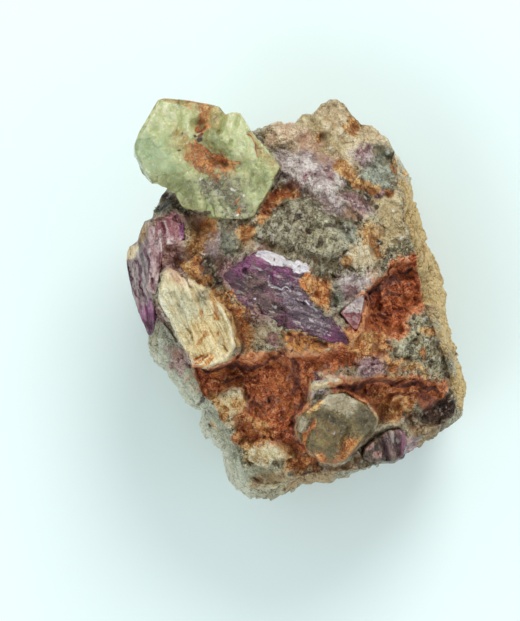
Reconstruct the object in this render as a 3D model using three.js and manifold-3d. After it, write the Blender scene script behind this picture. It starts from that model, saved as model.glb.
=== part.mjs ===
// A hand specimen of rhodizite: a pale green crystal and several tourmaline, feldspar and glassy
// crystals held in a broken block of iron-stained pegmatite. It lies on its back with the broken face up.
// Lengths are in millimetres. +Z is up, out of the face, +Y runs towards the ragged top edge.

import * as THREE from "three";
import { ConvexGeometry } from "three/addons/geometries/ConvexGeometry.js";
import { mergeVertices } from "three/addons/utils/BufferGeometryUtils.js";
import Module from "manifold-3d";

const wasm = await Module();
wasm.setup();

// Driving dimensions of the block
const FACE_MIDDLE = [0, 0.25];
const FOOT_SHARE = 0.9;
const FOOT_HEIGHT = 0.9;
const BASE_SHARE = 0.94;
const SEAM = 0.3;
const LARGEST_CRUMB = 5;

// How finely the block is divided: cells across the face, rings down the flank and rings under it
const FACE_CELLS = 46;
const UPPER_FLANK_RINGS = 4;
const LOWER_FLANK_RINGS = 3;
const BASE_RINGS = 2;

// Where the broken face turns over into the flanks, anticlockwise from the right
const RIM = [
  [11.6, 0], [11.35, 1.5], [11.1, 3.0], [10.95, 4.2], [10.4, 5.5], [9.95, 7.0], [9.7, 9.0],
  [9.4, 10.5], [9.4, 11.5], [9.35, 12.6], [9.0, 13.8], [8.5, 14.75], [7.9, 15.15], [7.3, 15.7],
  [7.0, 16.0], [6.1, 16.15], [5.7, 16.6], [5.2, 17.2], [4.8, 17.75], [4.35, 18.15], [3.8, 18.4],
  [3.2, 18.4], [2.8, 18.15], [2.35, 18.0], [2.0, 17.5], [1.5, 17.05], [1.0, 17.1], [0.6, 16.95],
  [0.3, 16.3], [0, 15.95], [-0.9, 15.9], [-1.2, 16.1], [-2.0, 15.95], [-2.8, 15.5], [-3.9, 15.2],
  [-5.6, 14.4], [-8.2, 12.7], [-10.6, 11.0], [-12.2, 9.5], [-12.6, 8.6], [-12.9, 7.6], [-13.4, 6.6],
  [-13.3, 4.8], [-13.1, 2.0], [-12.9, 0], [-12.4, -1.8], [-11.7, -2.6], [-11.0, -3.6], [-10.4, -4.6],
  [-9.9, -5.4], [-9.5, -6.4], [-9.0, -7.5], [-8.5, -8.5], [-7.9, -9.3], [-7.2, -10.3], [-6.5, -11.5],
  [-5.9, -12.6], [-5.4, -13.6], [-5.1, -14.6], [-4.8, -15.6], [-4.2, -16.5], [-3.4, -17.0],
  [-2.3, -17.1], [-1.2, -16.8], [0, -16.2], [1.2, -15.9], [2.4, -15.7], [4.0, -15.6], [5.6, -15.4],
  [7.2, -15.1], [8.6, -14.6], [9.5, -13.9], [10.3, -13.1], [11.2, -12.5], [12.4, -12.1], [13.5, -11.5],
  [14.5, -10.7], [14.8, -10.0], [14.55, -8.8], [14.3, -7.5], [14.1, -6.3], [13.6, -5.0], [13.0, -3.5],
  [12.5, -2.3], [11.9, -1.0],
];

// The widest line round the block, with its height above the base, anticlockwise from the right
const WAIST = [
  [14.3, -0.5, 6.5], [14.15, 0.6, 6.3], [13.8, 1.6, 6.2], [13.45, 3.0, 6.0], [13.05, 4.3, 6.0],
  [12.6, 5.4, 6.2], [12.2, 6.7, 6.5], [11.8, 7.8, 7.0], [11.45, 8.8, 7.4], [11.1, 10.2, 8.0],
  [10.9, 11.3, 8.4], [10.5, 12.0, 8.8], [10.05, 12.8, 9.0], [9.6, 13.6, 9.0], [9.05, 14.3, 8.6],
  [8.5, 14.8, 8.0], [7.2, 15.7, 7.6], [6.0, 16.1, 7.2], [5.1, 17.1, 7.0], [3.8, 18.2, 7.0],
  [2.8, 18.0, 7.2], [1.9, 17.3, 7.6], [0.7, 16.8, 7.8], [0, 15.8, 7.8], [-1.4, 15.9, 7.6],
  [-3.0, 15.3, 7.4], [-5.6, 14.3, 7.4], [-8.2, 12.6, 7.6], [-10.6, 11.0, 8.0], [-12.3, 9.4, 8.4],
  [-12.8, 8.0, 8.2], [-13.6, 6.6, 7.8], [-13.9, 4.8, 7.2], [-13.8, 2.0, 6.8], [-13.6, -0.5, 6.6],
  [-13.4, -2.2, 6.6], [-13.6, -3.2, 7.0], [-13.8, -4.0, 7.2], [-13.5, -4.85, 7.0], [-13.25, -5.5, 6.8],
  [-12.75, -6.1, 6.6], [-12.3, -6.25, 6.4], [-11.9, -6.75, 6.4], [-11.5, -7.55, 6.4],
  [-11.1, -8.05, 6.2], [-10.6, -9.15, 6.2], [-10.3, -9.65, 6.2], [-9.8, -10.2, 6.2],
  [-9.15, -10.4, 6.2], [-8.9, -10.8, 6.4], [-9.05, -11.7, 6.6], [-8.55, -12.45, 6.6],
  [-8.0, -13.15, 6.6], [-7.4, -13.7, 6.6], [-6.8, -14.2, 6.6], [-6.7, -14.9, 6.6], [-6.5, -16.0, 6.6],
  [-6.05, -17.05, 6.8], [-5.5, -17.75, 7.0], [-4.6, -18.25, 7.0], [-3.9, -18.6, 7.0],
  [-2.3, -18.55, 7.0], [-1.1, -18.1, 6.8], [0.3, -17.5, 6.6], [1.9, -17.0, 6.4], [4.1, -16.6, 6.2],
  [6.2, -16.1, 6.2], [8.2, -15.4, 6.4], [9.7, -14.7, 6.8], [11.2, -13.7, 7.2], [12.8, -13.05, 7.4],
  [14.2, -12.1, 7.6], [15.4, -10.9, 7.8], [15.75, -10.0, 7.8], [15.85, -8.7, 7.6], [15.8, -7.2, 7.2],
  [15.5, -6.2, 7.0], [15.1, -4.9, 6.8], [14.8, -3.6, 6.6], [14.5, -2.5, 6.5], [14.35, -1.3, 6.5],
];

// Heights of the face before its slabs and hollows: place across, place up, height above the base
const FACE_HEIGHTS = [
  [3.5, 18.0, 11.6], [1.0, 16.4, 12.6], [5.5, 16.2, 11.8], [3.5, 15.0, 14.4], [-1.5, 15.4, 13.2],
  [7.0, 15.4, 11.8], [9.0, 13.4, 12.0], [0, 13.0, 16.0], [5.0, 12.2, 15.8], [8.2, 11.2, 14.4],
  [-2.0, 12.0, 16.6], [2.0, 8.4, 18.6], [6.0, 8.2, 17.2], [9.2, 8.0, 14.8], [0, 5.2, 20.0],
  [4.0, 4.2, 19.5], [8.0, 4.4, 17.2], [10.4, 4.6, 15.2], [-2.4, 2.6, 20.2], [-4.6, 6.2, 19.4],
  [-8.6, 6.0, 18.8], [-11.4, 6.2, 17.2], [-12.8, 5.4, 16.4], [-12.6, 8.4, 14.0], [-10.6, 8.6, 15.8],
  [-9.0, 11.0, 13.6], [-6.0, 13.0, 13.4], [-12.6, 2.2, 17.2], [-10.4, 4.0, 18.6], [-9.6, 0.8, 18.9],
  [-8.0, -3.0, 19.2], [-6.2, 0.2, 19.6], [-3.4, -0.8, 19.8], [1.6, -1.2, 20.0], [3.0, -3.2, 19.8],
  [5.0, 1.4, 18.8], [8.0, 0.2, 16.6], [10.6, 0.2, 15.0], [7.0, -4.0, 18.0], [10.4, -3.0, 16.6],
  [13.0, -5.0, 13.8], [11.0, -6.0, 17.0], [7.0, -6.2, 18.8], [0, -4.2, 18.8], [3.0, -7.2, 18.4],
  [-3.0, -6.8, 17.8], [-7.0, -7.0, 17.2], [-2.0, -10.0, 17.4], [-6.2, -10.0, 16.4], [8.0, -9.2, 16.4],
  [11.0, -8.4, 15.8], [13.4, -8.0, 13.4], [4.0, -11.4, 17.8], [-4.2, -13.8, 15.6], [-0.8, -13.6, 16.6],
  [2.0, -15.2, 14.6], [7.2, -13.4, 14.8], [9.4, -12.6, 14.2], [12.0, -10.8, 13.4], [14.4, -10.0, 11.6],
  [-3.2, -16.8, 11.0], [-4.6, -15.2, 13.0], [-11.6, -2.6, 16.8],
];
const HEIGHT_SPREAD = 1.7;

// Slabs that stand above the face and hollows that lie below it. A rise under zero is a hollow.
const SLABS_AND_HOLLOWS = [
  { name: "brick red hollow", rise: -1.6, edge: 0.7, corners: [
    [-8.9, -5.6], [-7.7, -6.3], [-6.4, -5.9], [-5.0, -5.3], [-3.2, -5.5], [-2.0, -4.7], [-0.8, -5.3],
    [0.5, -5.3], [2.4, -5.0], [4.0, -4.4], [5.3, -4.6], [5.4, -6.3], [4.2, -7.2], [2.4, -7.3],
    [1.3, -8.2], [0.6, -9.6], [-0.2, -10.6], [-0.2, -12.4], [0.4, -13.8], [-0.6, -14.0], [-1.5, -13.0],
    [-2.4, -12.4], [-3.6, -12.9], [-4.9, -13.0], [-5.4, -11.8], [-5.3, -10.6], [-4.3, -9.4],
    [-4.8, -8.0], [-5.6, -7.5], [-6.8, -8.4], [-8.2, -8.7], [-9.1, -7.2] ] },
  { name: "right hollow", rise: -2.1, edge: 0.6, corners: [
    [6.1, 0.2], [7.0, 1.3], [8.2, 2.0], [8.9, 2.9], [9.8, 3.5], [10.8, 3.5], [11.0, 2.0], [11.3, 0.4],
    [11.2, -0.6], [10.1, -0.8], [9.7, -1.8], [9.6, -3.0], [8.4, -2.9], [7.0, -2.6], [6.1, -2.4],
    [5.9, -1.0] ] },
  { name: "scoop under the ledge", rise: -2.6, edge: 0.6, corners: [
    [3.9, -7.9], [5.8, -8.6], [6.8, -9.4], [7.4, -10.5], [8.1, -11.0], [9.0, -10.7], [10.0, -9.9],
    [12.0, -9.3], [13.3, -8.5], [13.8, -7.7], [11.0, -7.35], [8.0, -7.2], [5.4, -7.5] ] },
  { name: "ledge over the scoop", rise: 0.7, edge: 0.35, corners: [
    [4.6, -7.3], [6.5, -7.1], [8.0, -6.95], [11.0, -7.1], [13.8, -7.3], [13.2, -6.6], [11.4, -5.6],
    [9.6, -5.5], [8.0, -5.1], [5.8, -5.3], [5.4, -6.6] ] },
  { name: "bark-like ridge", rise: 1.2, edge: 0.5, corners: [
    [0.9, -6.6], [1.0, -7.2], [1.5, -7.8], [0.9, -8.5], [1.1, -9.0], [1.6, -8.5], [2.6, -8.0],
    [3.4, -7.7], [5.0, -7.2], [4.2, -6.7], [2.4, -6.4] ] },
  { name: "orange flake", rise: 1.4, edge: 0.35, corners: [
    [-1.1, -3.1], [-1.2, -4.2], [-0.6, -5.0], [1.0, -5.05], [2.6, -4.7], [3.6, -4.2], [2.2, -3.6],
    [0.6, -3.25] ] },
  { name: "mauve ridge", rise: 0.7, edge: 0.4, corners: [
    [3.2, 1.6], [3.4, 0.2], [4.0, -0.5], [5.0, 0], [6.2, 0.6], [7.0, 1.4], [7.9, 2.5], [6.4, 2.6],
    [4.2, 2.4] ] },
  { name: "quartz plateau", rise: 0.6, edge: 0.5, corners: [
    [-4.0, 5.9], [-2.6, 5.1], [-0.6, 4.4], [2.0, 3.7], [3.8, 3.9], [5.2, 4.6], [4.4, 5.6], [3.4, 7.2],
    [1.2, 9.0], [-0.6, 8.9], [-1.8, 7.7], [-3.2, 7.2] ] },
  { name: "quartz step", rise: 0.35, edge: 0.4, corners: [
    [3.9, 7.4], [4.6, 5.8], [5.4, 4.6], [4.4, 3.8], [5.4, 2.7], [7.2, 2.8], [7.8, 3.2], [6.6, 5.0],
    [5.0, 6.9] ] },
  { name: "stained cleft", rise: -0.7, edge: 0.4, corners: [
    [-3.4, 7.4], [-2.2, 7.8], [-1.2, 8.9], [-0.2, 9.3], [0.2, 9.9], [-0.6, 10.3], [-2.1, 9.9],
    [-2.9, 8.6] ] },
  { name: "summit", rise: 0.9, edge: 0.9, corners: [
    [1.9, 15.6], [3.0, 14.9], [4.6, 15.2], [5.2, 16.2], [4.4, 17.5], [3.2, 17.9], [2.2, 17.2] ] },
  { name: "mauve slab", rise: 0.45, edge: 0.5, corners: [
    [-1.2, 11.8], [0.2, 10.4], [1.6, 9.6], [4.0, 9.8], [4.6, 10.9], [3.9, 12.2], [1.6, 12.9],
    [-0.4, 13.3] ] },
  { name: "upper purple knob", rise: 0.35, edge: 0.3, corners: [
    [5.6, 12.6], [6.3, 12.4], [7.0, 13.0], [6.9, 14.0], [5.8, 13.9] ] },
  { name: "lower purple knob", rise: 0.45, edge: 0.35, corners: [
    [3.9, 9.2], [5.2, 8.0], [6.4, 7.2], [7.0, 7.6], [6.4, 8.8], [5.2, 9.9] ] },
  { name: "blue-grey slab", rise: 0.35, edge: 0.4, corners: [
    [5.9, 12.1], [5.9, 11.2], [6.9, 10.4], [8.6, 9.7], [8.9, 10.6], [8.6, 12.3] ] },
  { name: "green slab", rise: 0.5, edge: 0.5, corners: [
    [9.9, -1.2], [9.9, -2.8], [9.2, -3.6], [7.9, -3.2], [7.9, -4.6], [9.4, -5.1], [11.6, -5.4],
    [13.0, -4.4], [12.3, -2.6], [11.2, -0.8] ] },
  { name: "dark corner", rise: -0.6, edge: 0.4, corners: [
    [9.6, -10.6], [9.8, -11.4], [10.6, -12.2], [13.4, -11.4], [14.8, -10.2], [14.4, -8.6], [13.4, -8.6],
    [12.3, -9.6] ] },
  { name: "cream patch", rise: 0.5, edge: 0.4, corners: [
    [-6.6, -8.9], [-6.8, -9.8], [-6.2, -10.8], [-5.4, -10.5], [-4.6, -9.8], [-4.6, -8.6], [-5.0, -7.6],
    [-5.9, -8.0] ] },
  { name: "cream ridge", rise: 0.6, edge: 0.4, corners: [
    [-4.3, -13.6], [-4.4, -14.8], [-2.6, -15.2], [-2.0, -14.6], [-0.3, -14.3], [0, -13.6], [-1.6, -12.8],
    [-3.0, -12.6] ] },
  { name: "dark grain", rise: 0.5, edge: 0.35, corners: [
    [-6.6, 6.8], [-6.7, 4.8], [-6.0, 4.2], [-5.1, 4.5], [-5.0, 5.9], [-5.3, 6.8] ] },
];

// Broken grains that roughen the whole block: their size, how far they stand out, and their seed
const GRAINS = [
  { size: 3.4, relief: 0.5, salt: 11 },
  { size: 1.7, relief: 0.26, salt: 23 },
];
const FLANK_DENTS = { size: 6.5, relief: 0.8, salt: 37 };

// At the rim the grains stand out this way from upright, and by this share
const RIM_LEAN = Math.PI / 14;
const RIM_ROUGHNESS = 0.5;

// The crystals. A lobe is a plan outline at the height of its girdle, sides that lean in by so many degrees
// above and below it, top faces given as a place, its height and the slopes across and up, and a flat underside.
const RHODIZITE = [
  { girdle: 17.5, leanAbove: 14, leanBelow: 36, under: 12.2, outline: [
    [-10.2, 8.2], [-8.8, 7.6], [-7.0, 7.1], [-4.8, 7.05], [-3.8, 7.4], [-4.2, 12.0], [-7.0, 17.35],
    [-8.0, 17.75], [-10.0, 18.05], [-11.9, 18.2], [-12.5, 18.0], [-14.2, 15.1], [-14.65, 13.9],
    [-14.6, 13.0], [-13.0, 10.3] ],
    tops: [[-11.0, 14.5, 21.4, 0.05, -0.12], [-11.5, 12.0, 21.3, 0.18, 0.25],
      [-7.0, 10.0, 20.8, -0.02, 0.12]] },
  { girdle: 17.8, leanAbove: 14, leanBelow: 30, under: 12.2, outline: [
    [-5.0, 7.05], [-3.8, 7.3], [-2.0, 10.4], [-1.35, 11.95], [-5.0, 16.85], [-6.35, 16.6], [-8.0, 12.0],
    [-7.5, 8.0] ],
    tops: [[-5.5, 14.5, 21.1, -0.1, -0.08], [-2.9, 13.0, 19.9, -0.55, -0.35],
      [-3.2, 10.0, 19.9, -0.25, 0.12]] },
];
// The worn, rusty groove across the rhodizite: places with the groove's half width and depth
const RHODIZITE_GROOVE = [
  [-8.6, 18.4, 0.8, 1.2], [-8.8, 16.2, 0.7, 1.1], [-8.5, 14.4, 0.8, 1.2], [-7.4, 12.9, 0.9, 1.1],
  [-4.4, 12.0, 0.5, 0.1],
];
const PURPLE_TOURMALINE = [
  { girdle: 19.0, leanAbove: 12, leanBelow: 8, under: 16.2, outline: [
    [-3.2, -1.8], [0.6, -3.0], [1.1, -0.4], [1.4, 2.3], [1.3, 3.2], [-2.8, 4.6], [-3.9, 4.3],
    [-4.7, 3.8], [-6.6, 2.2], [-6.3, 1.1], [-5.5, -0.2] ],
    tops: [[-1.6, 2.98, 21.0, -0.133, -0.482], [-1.6, 2.98, 21.0, 0.059, 0.212],
      [-3.5, 2.5, 20.8, 0.3, 0.15]] },
  { girdle: 19.0, leanAbove: 12, leanBelow: 8, under: 16.2, outline: [
    [-2.6, -2.1], [4.4, -4.2], [4.95, -3.8], [3.9, -2.2], [3.3, -1.4], [0.9, 0.2], [-2.5, 0.8] ],
    tops: [[1.0, -1.5, 20.5, -0.1, 0.1], [1.0, -2.9, 20.0, 0, 0.5]] },
];
const PINK_TOURMALINE = [
  { girdle: 18.4, leanAbove: 15, leanBelow: 5, under: 16.4, outline: [
    [3.75, -1.2], [4.7, -2.45], [5.2, -2.95], [5.65, -2.8], [6.0, -1.7], [6.3, 0.3], [6.05, 0.7],
    [5.1, 0.1], [4.2, -0.55] ],
    tops: [[5.0, -1.05, 20.5, 0, -0.45], [5.0, -1.05, 20.5, 0, 0.25]] },
];
const LEFT_TOURMALINE = [
  { girdle: 11.5, leanAbove: 8, leanBelow: 25, under: 8.6, outline: [
    [-13.45, -3.2], [-13.05, -3.1], [-12.8, -1.6], [-12.7, 0.9], [-12.3, 3.1], [-12.3, 7.1], [-12.9, 7.5],
    [-13.75, 7.1], [-15.3, 4.8], [-15.45, 3.6], [-15.2, 1.9], [-14.5, -0.6] ],
    tops: [[-13.2, 3.0, 17.8, 0.3, 0], [-13.4, 3.0, 17.6, 1.5, 0.1], [-13.3, -1.5, 16.9, 0.3, 1.2]] },
  { girdle: 17.3, leanAbove: 15, leanBelow: 8, under: 13.0, outline: [
    [-13.2, 5.5], [-11.8, 5.0], [-10.7, 5.2], [-10.1, 6.2], [-10.3, 7.1], [-10.9, 7.6], [-12.5, 7.4],
    [-13.5, 6.9] ],
    tops: [[-11.4, 6.4, 18.6, 0.12, -0.3]] },
];
const FELDSPAR_BLADE = [
  { girdle: 18.6, leanAbove: 10, leanBelow: 6, under: 15.4, outline: [
    [-9.4, -5.6], [-7.8, -6.2], [-6.0, -5.6], [-5.2, -4.2], [-5.5, -2.4], [-6.3, -0.7], [-7.8, 1.1],
    [-11.3, 2.7], [-11.95, 2.4], [-12.35, 0.9], [-12.4, -0.1], [-11.7, -1.6], [-10.6, -3.8] ],
    tops: [[-8.5, -2.0, 20.8, 0.16, -0.03], [-10.8, 0, 20.3, 0.45, 0.1], [-9.5, 1.5, 20.3, 0.05, -0.35]] },
];
const GLASSY_CRYSTAL = [
  { girdle: 17.2, leanAbove: 14, leanBelow: 8, under: 14.6, outline: [
    [0.1, -12.3], [0.9, -13.5], [2.3, -14.75], [3.5, -14.95], [4.5, -14.55], [7.15, -11.4],
    [7.3, -10.7], [6.4, -9.3], [4.3, -8.15], [2.8, -8.3], [0.6, -10.0], [0.1, -10.7] ],
    tops: [[3.2, -12.0, 19.3, 0.05, 0.18], [3.9, -10.2, 19.7, -0.05, -0.35], [5.5, -11.0, 19.4, -0.6, -0.05],
      [3.2, -13.8, 18.8, 0, 0.8]] },
];
const LOWER_TOURMALINE = [
  { girdle: 13.2, leanAbove: 10, leanBelow: 15, under: 10.6, outline: [
    [5.8, -14.5], [6.7, -15.1], [9.1, -15.0], [10.0, -14.5], [10.45, -13.2], [10.3, -12.1],
    [9.5, -11.4], [8.3, -11.5], [7.1, -12.3], [6.0, -13.4] ],
    tops: [[7.7, -12.5, 16.4, 0.05, 0.55], [9.2, -12.5, 16.2, -0.3, 0.3]] },
];

const clamp = (x) => Math.min(1, Math.max(0, x));
const smooth = (x) => clamp(x) ** 2 * (3 - 2 * clamp(x));

// A steady number from 0 to 1 for each cell of a lattice
function cellNumber(i, j, k, salt) {
  let h = Math.imul(i, 374761393) ^ Math.imul(j, 668265263) ^ Math.imul(k, 1274126177);
  h ^= Math.imul(salt, 974711);
  h = Math.imul(h ^ (h >>> 15), 2246822519);
  h = Math.imul(h ^ (h >>> 13), 3266489917);
  return ((h ^ (h >>> 16)) >>> 0) / 4294967296;
}

// Broken-grain relief, about -1 to 1: each jittered lattice point owns a tilted plane, melted into the next
function grainRelief(place, size, salt) {
  const [x, y, z] = place.map((v) => v / size);
  const [i0, j0, k0] = [x, y, z].map(Math.floor);
  let sum = 0;
  let weight = 0;
  for (let i = i0 - 1; i <= i0 + 1; i++)
    for (let j = j0 - 1; j <= j0 + 1; j++)
      for (let k = k0 - 1; k <= k0 + 1; k++) {
        const number = (n) => cellNumber(i, j, k, salt + n);
        const [dx, dy, dz] = [x - i - number(0), y - j - number(1), z - k - number(2)];
        const near = Math.exp(-12 * (dx * dx + dy * dy + dz * dz));
        const tilt = (number(3) - 0.5) * dx + (number(4) - 0.5) * dy + (number(5) - 0.5) * dz;
        sum += near * (2 * tilt + 2 * (number(6) - 0.5));
        weight += near;
      }
  return sum / weight;
}

// Distance inside a polygon's edge, in plan, and less than zero outside it
function distanceInside(x, y, corners) {
  let nearest = Infinity;
  let inside = false;
  corners.forEach(([ax, ay], n) => {
    const [bx, by] = corners[(n + 1) % corners.length];
    const share = clamp(((x - ax) * (bx - ax) + (y - ay) * (by - ay)) / ((bx - ax) ** 2 + (by - ay) ** 2));
    nearest = Math.min(nearest, Math.hypot(x - ax - share * (bx - ax), y - ay - share * (by - ay)));
    if (ay > y !== by > y && x < ((bx - ax) * (y - ay)) / (by - ay) + ax) inside = !inside;
  });
  return inside ? nearest : -nearest;
}

// Height of the broken face: the spot heights blended by closeness, then each slab and hollow
function faceHeight(x, y) {
  let sum = 0;
  let weight = 0;
  for (const [sx, sy, height] of FACE_HEIGHTS) {
    const near = Math.exp(-((x - sx) ** 2 + (y - sy) ** 2) / (2 * HEIGHT_SPREAD ** 2)) + 1e-12;
    sum += near * height;
    weight += near;
  }
  let height = sum / weight;
  for (const { rise, edge, corners } of SLABS_AND_HOLLOWS)
    height += rise * smooth(distanceInside(x, y, corners) / edge + 0.5);
  return height;
}

const TURN = 2 * Math.PI;

function bearing([x, y]) {
  return (Math.atan2(y - FACE_MIDDLE[1], x - FACE_MIDDLE[0]) + TURN) % TURN;
}

// The place on a closed line round the middle that lies at a bearing, straight between the line's points
function placeAtBearing(line, wanted) {
  for (let n = 0; n < line.length; n++) {
    const [from, to] = [line[n], line[(n + 1) % line.length]];
    const span = (bearing(to) - bearing(from) + TURN) % TURN;
    const along = (wanted - bearing(from) + 2 * TURN) % TURN;
    if (span < Math.PI && along <= span) return from.map((v, c) => v + (along / span) * (to[c] - v));
  }
  throw new Error("no stretch of the line lies at bearing " + wanted);
}

// The bearing of a point of the square from -1 to 1: each side of the square spans a quarter turn evenly
function squareBearing(a, b) {
  if (Math.abs(a) >= Math.abs(b)) return (a > 0 ? 0 : TURN / 2) + ((TURN / 8) * b) / a;
  return (b > 0 ? TURN / 4 : (3 * TURN) / 4) - ((TURN / 8) * a) / b;
}

// A point of the unroughened block moves by the grains, along a way that turns from up to outwards
function roughened([x, y, z], lean, share = 1, dentShare = 0) {
  const out = Math.hypot(x, y) || 1;
  const way = [(x / out) * Math.sin(lean), (y / out) * Math.sin(lean), Math.cos(lean)];
  const standsOut = ({ size, relief, salt }) => relief * grainRelief([x, y, z], size, salt);
  const dent = standsOut(FLANK_DENTS) - FLANK_DENTS.relief;
  const lift = share * GRAINS.map(standsOut).reduce((a, b) => a + b) + dentShare * dent;
  return [x, y, z].map((v, c) => v + lift * way[c]);
}

// The block: a square sheet of cells drawn out to the rim, then rings down the flank and in under the base
function blockGeometry() {
  const points = [];
  const triangles = [];
  const addPoint = (place) => points.push(place) - 1;
  const addQuad = (a, b, c, d) => triangles.push(a, b, c, a, c, d);
  const [mx, my] = FACE_MIDDLE;
  const n = FACE_CELLS;
  const steps = Array.from({ length: n + 1 }, (_, step) => (2 * step) / n - 1);

  // Each square of the sheet round its middle becomes a smaller copy of the rim
  const sheet = steps.map((b) => steps.map((a) => {
    const ring = Math.max(Math.abs(a), Math.abs(b));
    const [rx, ry] = ring ? placeAtBearing(RIM, squareBearing(a, b)) : [mx, my];
    const [x, y] = [mx + ring * (rx - mx), my + ring * (ry - my)];
    const onRim = ring > 1 - 1e-9;
    return addPoint(roughened([x, y, faceHeight(x, y)], onRim ? RIM_LEAN : 0, onRim ? RIM_ROUGHNESS : 1));
  }));
  for (let row = 0; row < n; row++)
    for (let column = 0; column < n; column++)
      addQuad(...sheet[row].slice(column, column + 2), ...sheet[row + 1].slice(column, column + 2).reverse());

  // The sheet's border, anticlockwise from its lower right corner, and the bearing of each of its points
  let ring = [
    ...sheet.slice(0, n).map((row) => row[n]),
    ...sheet[n].slice(1).reverse(),
    ...sheet.slice(1).reverse().map((row) => row[0]),
    ...sheet[0].slice(0, n),
  ];
  const bearings = ring.map((_, c) => (c / ring.length - 1 / 8) * TURN);
  const rim = bearings.map((b) => placeAtBearing(RIM, b));
  const waist = bearings.map((b) => placeAtBearing(WAIST, b));
  const addRing = (place) => {
    const next = waist.map(([wx, wy, wz], c) => addPoint(place(wx, wy, wz, c)));
    next.forEach((p, c) => {
      const after = (c + 1) % next.length;
      addQuad(ring[c], p, next[after], ring[after]);
    });
    ring = next;
  };
  for (let step = 1; step <= UPPER_FLANK_RINGS; step++)
    addRing((wx, wy, wz, c) => {
      const share = step / UPPER_FLANK_RINGS;
      const top = [...rim[c], faceHeight(...rim[c])];
      const place = [wx, wy, wz].map((low, axis) => top[axis] + share * (low - top[axis]));
      return roughened(place, TURN / 4, 0.7 - 0.4 * share, 4 * share * (1 - share));
    });
  for (let step = 1; step <= LOWER_FLANK_RINGS; step++)
    addRing((wx, wy, wz) => {
      const share = step / LOWER_FLANK_RINGS;
      const inwards = 1 - (1 - FOOT_SHARE) * share ** 1.6;
      const place = [mx + inwards * (wx - mx), my + inwards * (wy - my), wz + share * (FOOT_HEIGHT - wz)];
      return roughened(place, TURN / 4, 0.3 * (1 - share), 2 * share * (1 - share));
    });
  for (let step = 0; step < BASE_RINGS; step++)
    addRing((wx, wy) => {
      const share = FOOT_SHARE * BASE_SHARE * (1 - step / BASE_RINGS);
      return [mx + share * (wx - mx), my + share * (wy - my), 0];
    });
  const middle = addPoint([mx, my, 0]);
  ring.forEach((p, c) => triangles.push(p, middle, ring[(c + 1) % ring.length]));
  return indexed(points, triangles);
}

function indexed(points, triangles) {
  const geometry = new THREE.BufferGeometry();
  geometry.setAttribute("position", new THREE.Float32BufferAttribute(points.flat(), 3));
  geometry.setIndex(triangles);
  return geometry;
}

// The planes that bound a lobe, each with its outward normal and its distance from the origin
function facesOf({ outline, girdle, leanAbove, leanBelow, tops, under }) {
  const plane = (normal, at) => new THREE.Plane().setFromNormalAndCoplanarPoint(normal.normalize(), at);
  const sides = outline.flatMap(([ax, ay], n) => {
    const [bx, by] = outline[(n + 1) % outline.length];
    const length = Math.hypot(bx - ax, by - ay);
    return [leanAbove, -leanBelow].map((degrees) => {
      const lean = THREE.MathUtils.degToRad(degrees);
      const across = Math.cos(lean) / length;
      const normal = new THREE.Vector3((by - ay) * across, (ax - bx) * across, Math.sin(lean));
      return plane(normal, new THREE.Vector3(ax, ay, girdle));
    });
  });
  const topFaces = tops.map(([x, y, z, slopeAcross, slopeUp]) =>
    plane(new THREE.Vector3(-slopeAcross, -slopeUp, 1), new THREE.Vector3(x, y, z)));
  return [...sides, ...topFaces, plane(new THREE.Vector3(0, 0, -1), new THREE.Vector3(0, 0, under))];
}

// The corners where three of a lobe's planes meet on its surface
function cornersOf(planes) {
  const corners = new Map();
  const matrix = new THREE.Matrix3();
  planes.forEach((p, a) =>
    planes.slice(a + 1).forEach((q, b) =>
      planes.slice(a + b + 2).forEach((r) => {
        matrix.set(...p.normal.toArray(), ...q.normal.toArray(), ...r.normal.toArray());
        if (Math.abs(matrix.determinant()) < 1e-5) return;
        const corner = new THREE.Vector3(-p.constant, -q.constant, -r.constant).applyMatrix3(matrix.invert());
        if (planes.every((s) => s.distanceToPoint(corner) < 1e-4))
          corners.set(corner.toArray().map((v) => v.toFixed(2)).join(" "), corner);
      })));
  return [...corners.values()];
}

// A lobe's solid. Grown, every corner spreads into a small cube, which pushes every face out.
function lobeSolid(lobe, growth = 0) {
  const corners = cornersOf(facesOf(lobe));
  const steps = growth ? [-growth, growth] : [0];
  const spread = corners.flatMap((c) => steps.flatMap((x) => steps.flatMap((y) =>
    steps.map((z) => new THREE.Vector3(c.x + x, c.y + y, c.z + z)))));
  return solidOf(new ConvexGeometry(spread));
}

function crystalSolid(lobes, growth = 0) {
  return lobes.map((lobe) => lobeSolid(lobe, growth)).reduce((whole, lobe) => whole.add(lobe));
}

// A V-shaped cut along a line of places, each with its half width and depth below the crystal's top
function grooveSolids(places, top) {
  const lip = 2;
  const section = ([x, y, halfWidth, depth], [ax, ay]) => [
    new THREE.Vector3(x, y, top - depth),
    new THREE.Vector3(x - ay * halfWidth * lip, y + ax * halfWidth * lip, top + depth * (lip - 1)),
    new THREE.Vector3(x + ay * halfWidth * lip, y - ax * halfWidth * lip, top + depth * (lip - 1)),
  ];
  return places.slice(1).map((place, n) => {
    const before = places[n];
    const length = Math.hypot(place[0] - before[0], place[1] - before[1]);
    const along = [(place[0] - before[0]) / length, (place[1] - before[1]) / length];
    return solidOf(new ConvexGeometry([...section(before, along), ...section(place, along)]));
  });
}

function solidOf(geometry) {
  const bare = geometry.clone();
  bare.deleteAttribute("normal");
  bare.deleteAttribute("uv");
  const merged = mergeVertices(bare, 1e-4);
  return new wasm.Manifold(new wasm.Mesh({
    numProp: 3,
    vertProperties: merged.attributes.position.array,
    triVerts: new Uint32Array(merged.index.array),
  }));
}

function geometryOf(solid) {
  const { vertProperties, triVerts } = solid.getMesh();
  const geometry = new THREE.BufferGeometry();
  geometry.setAttribute("position", new THREE.BufferAttribute(vertProperties, 3));
  geometry.setIndex(new THREE.BufferAttribute(triVerts, 1));
  geometry.computeVertexNormals();
  return geometry;
}

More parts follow.
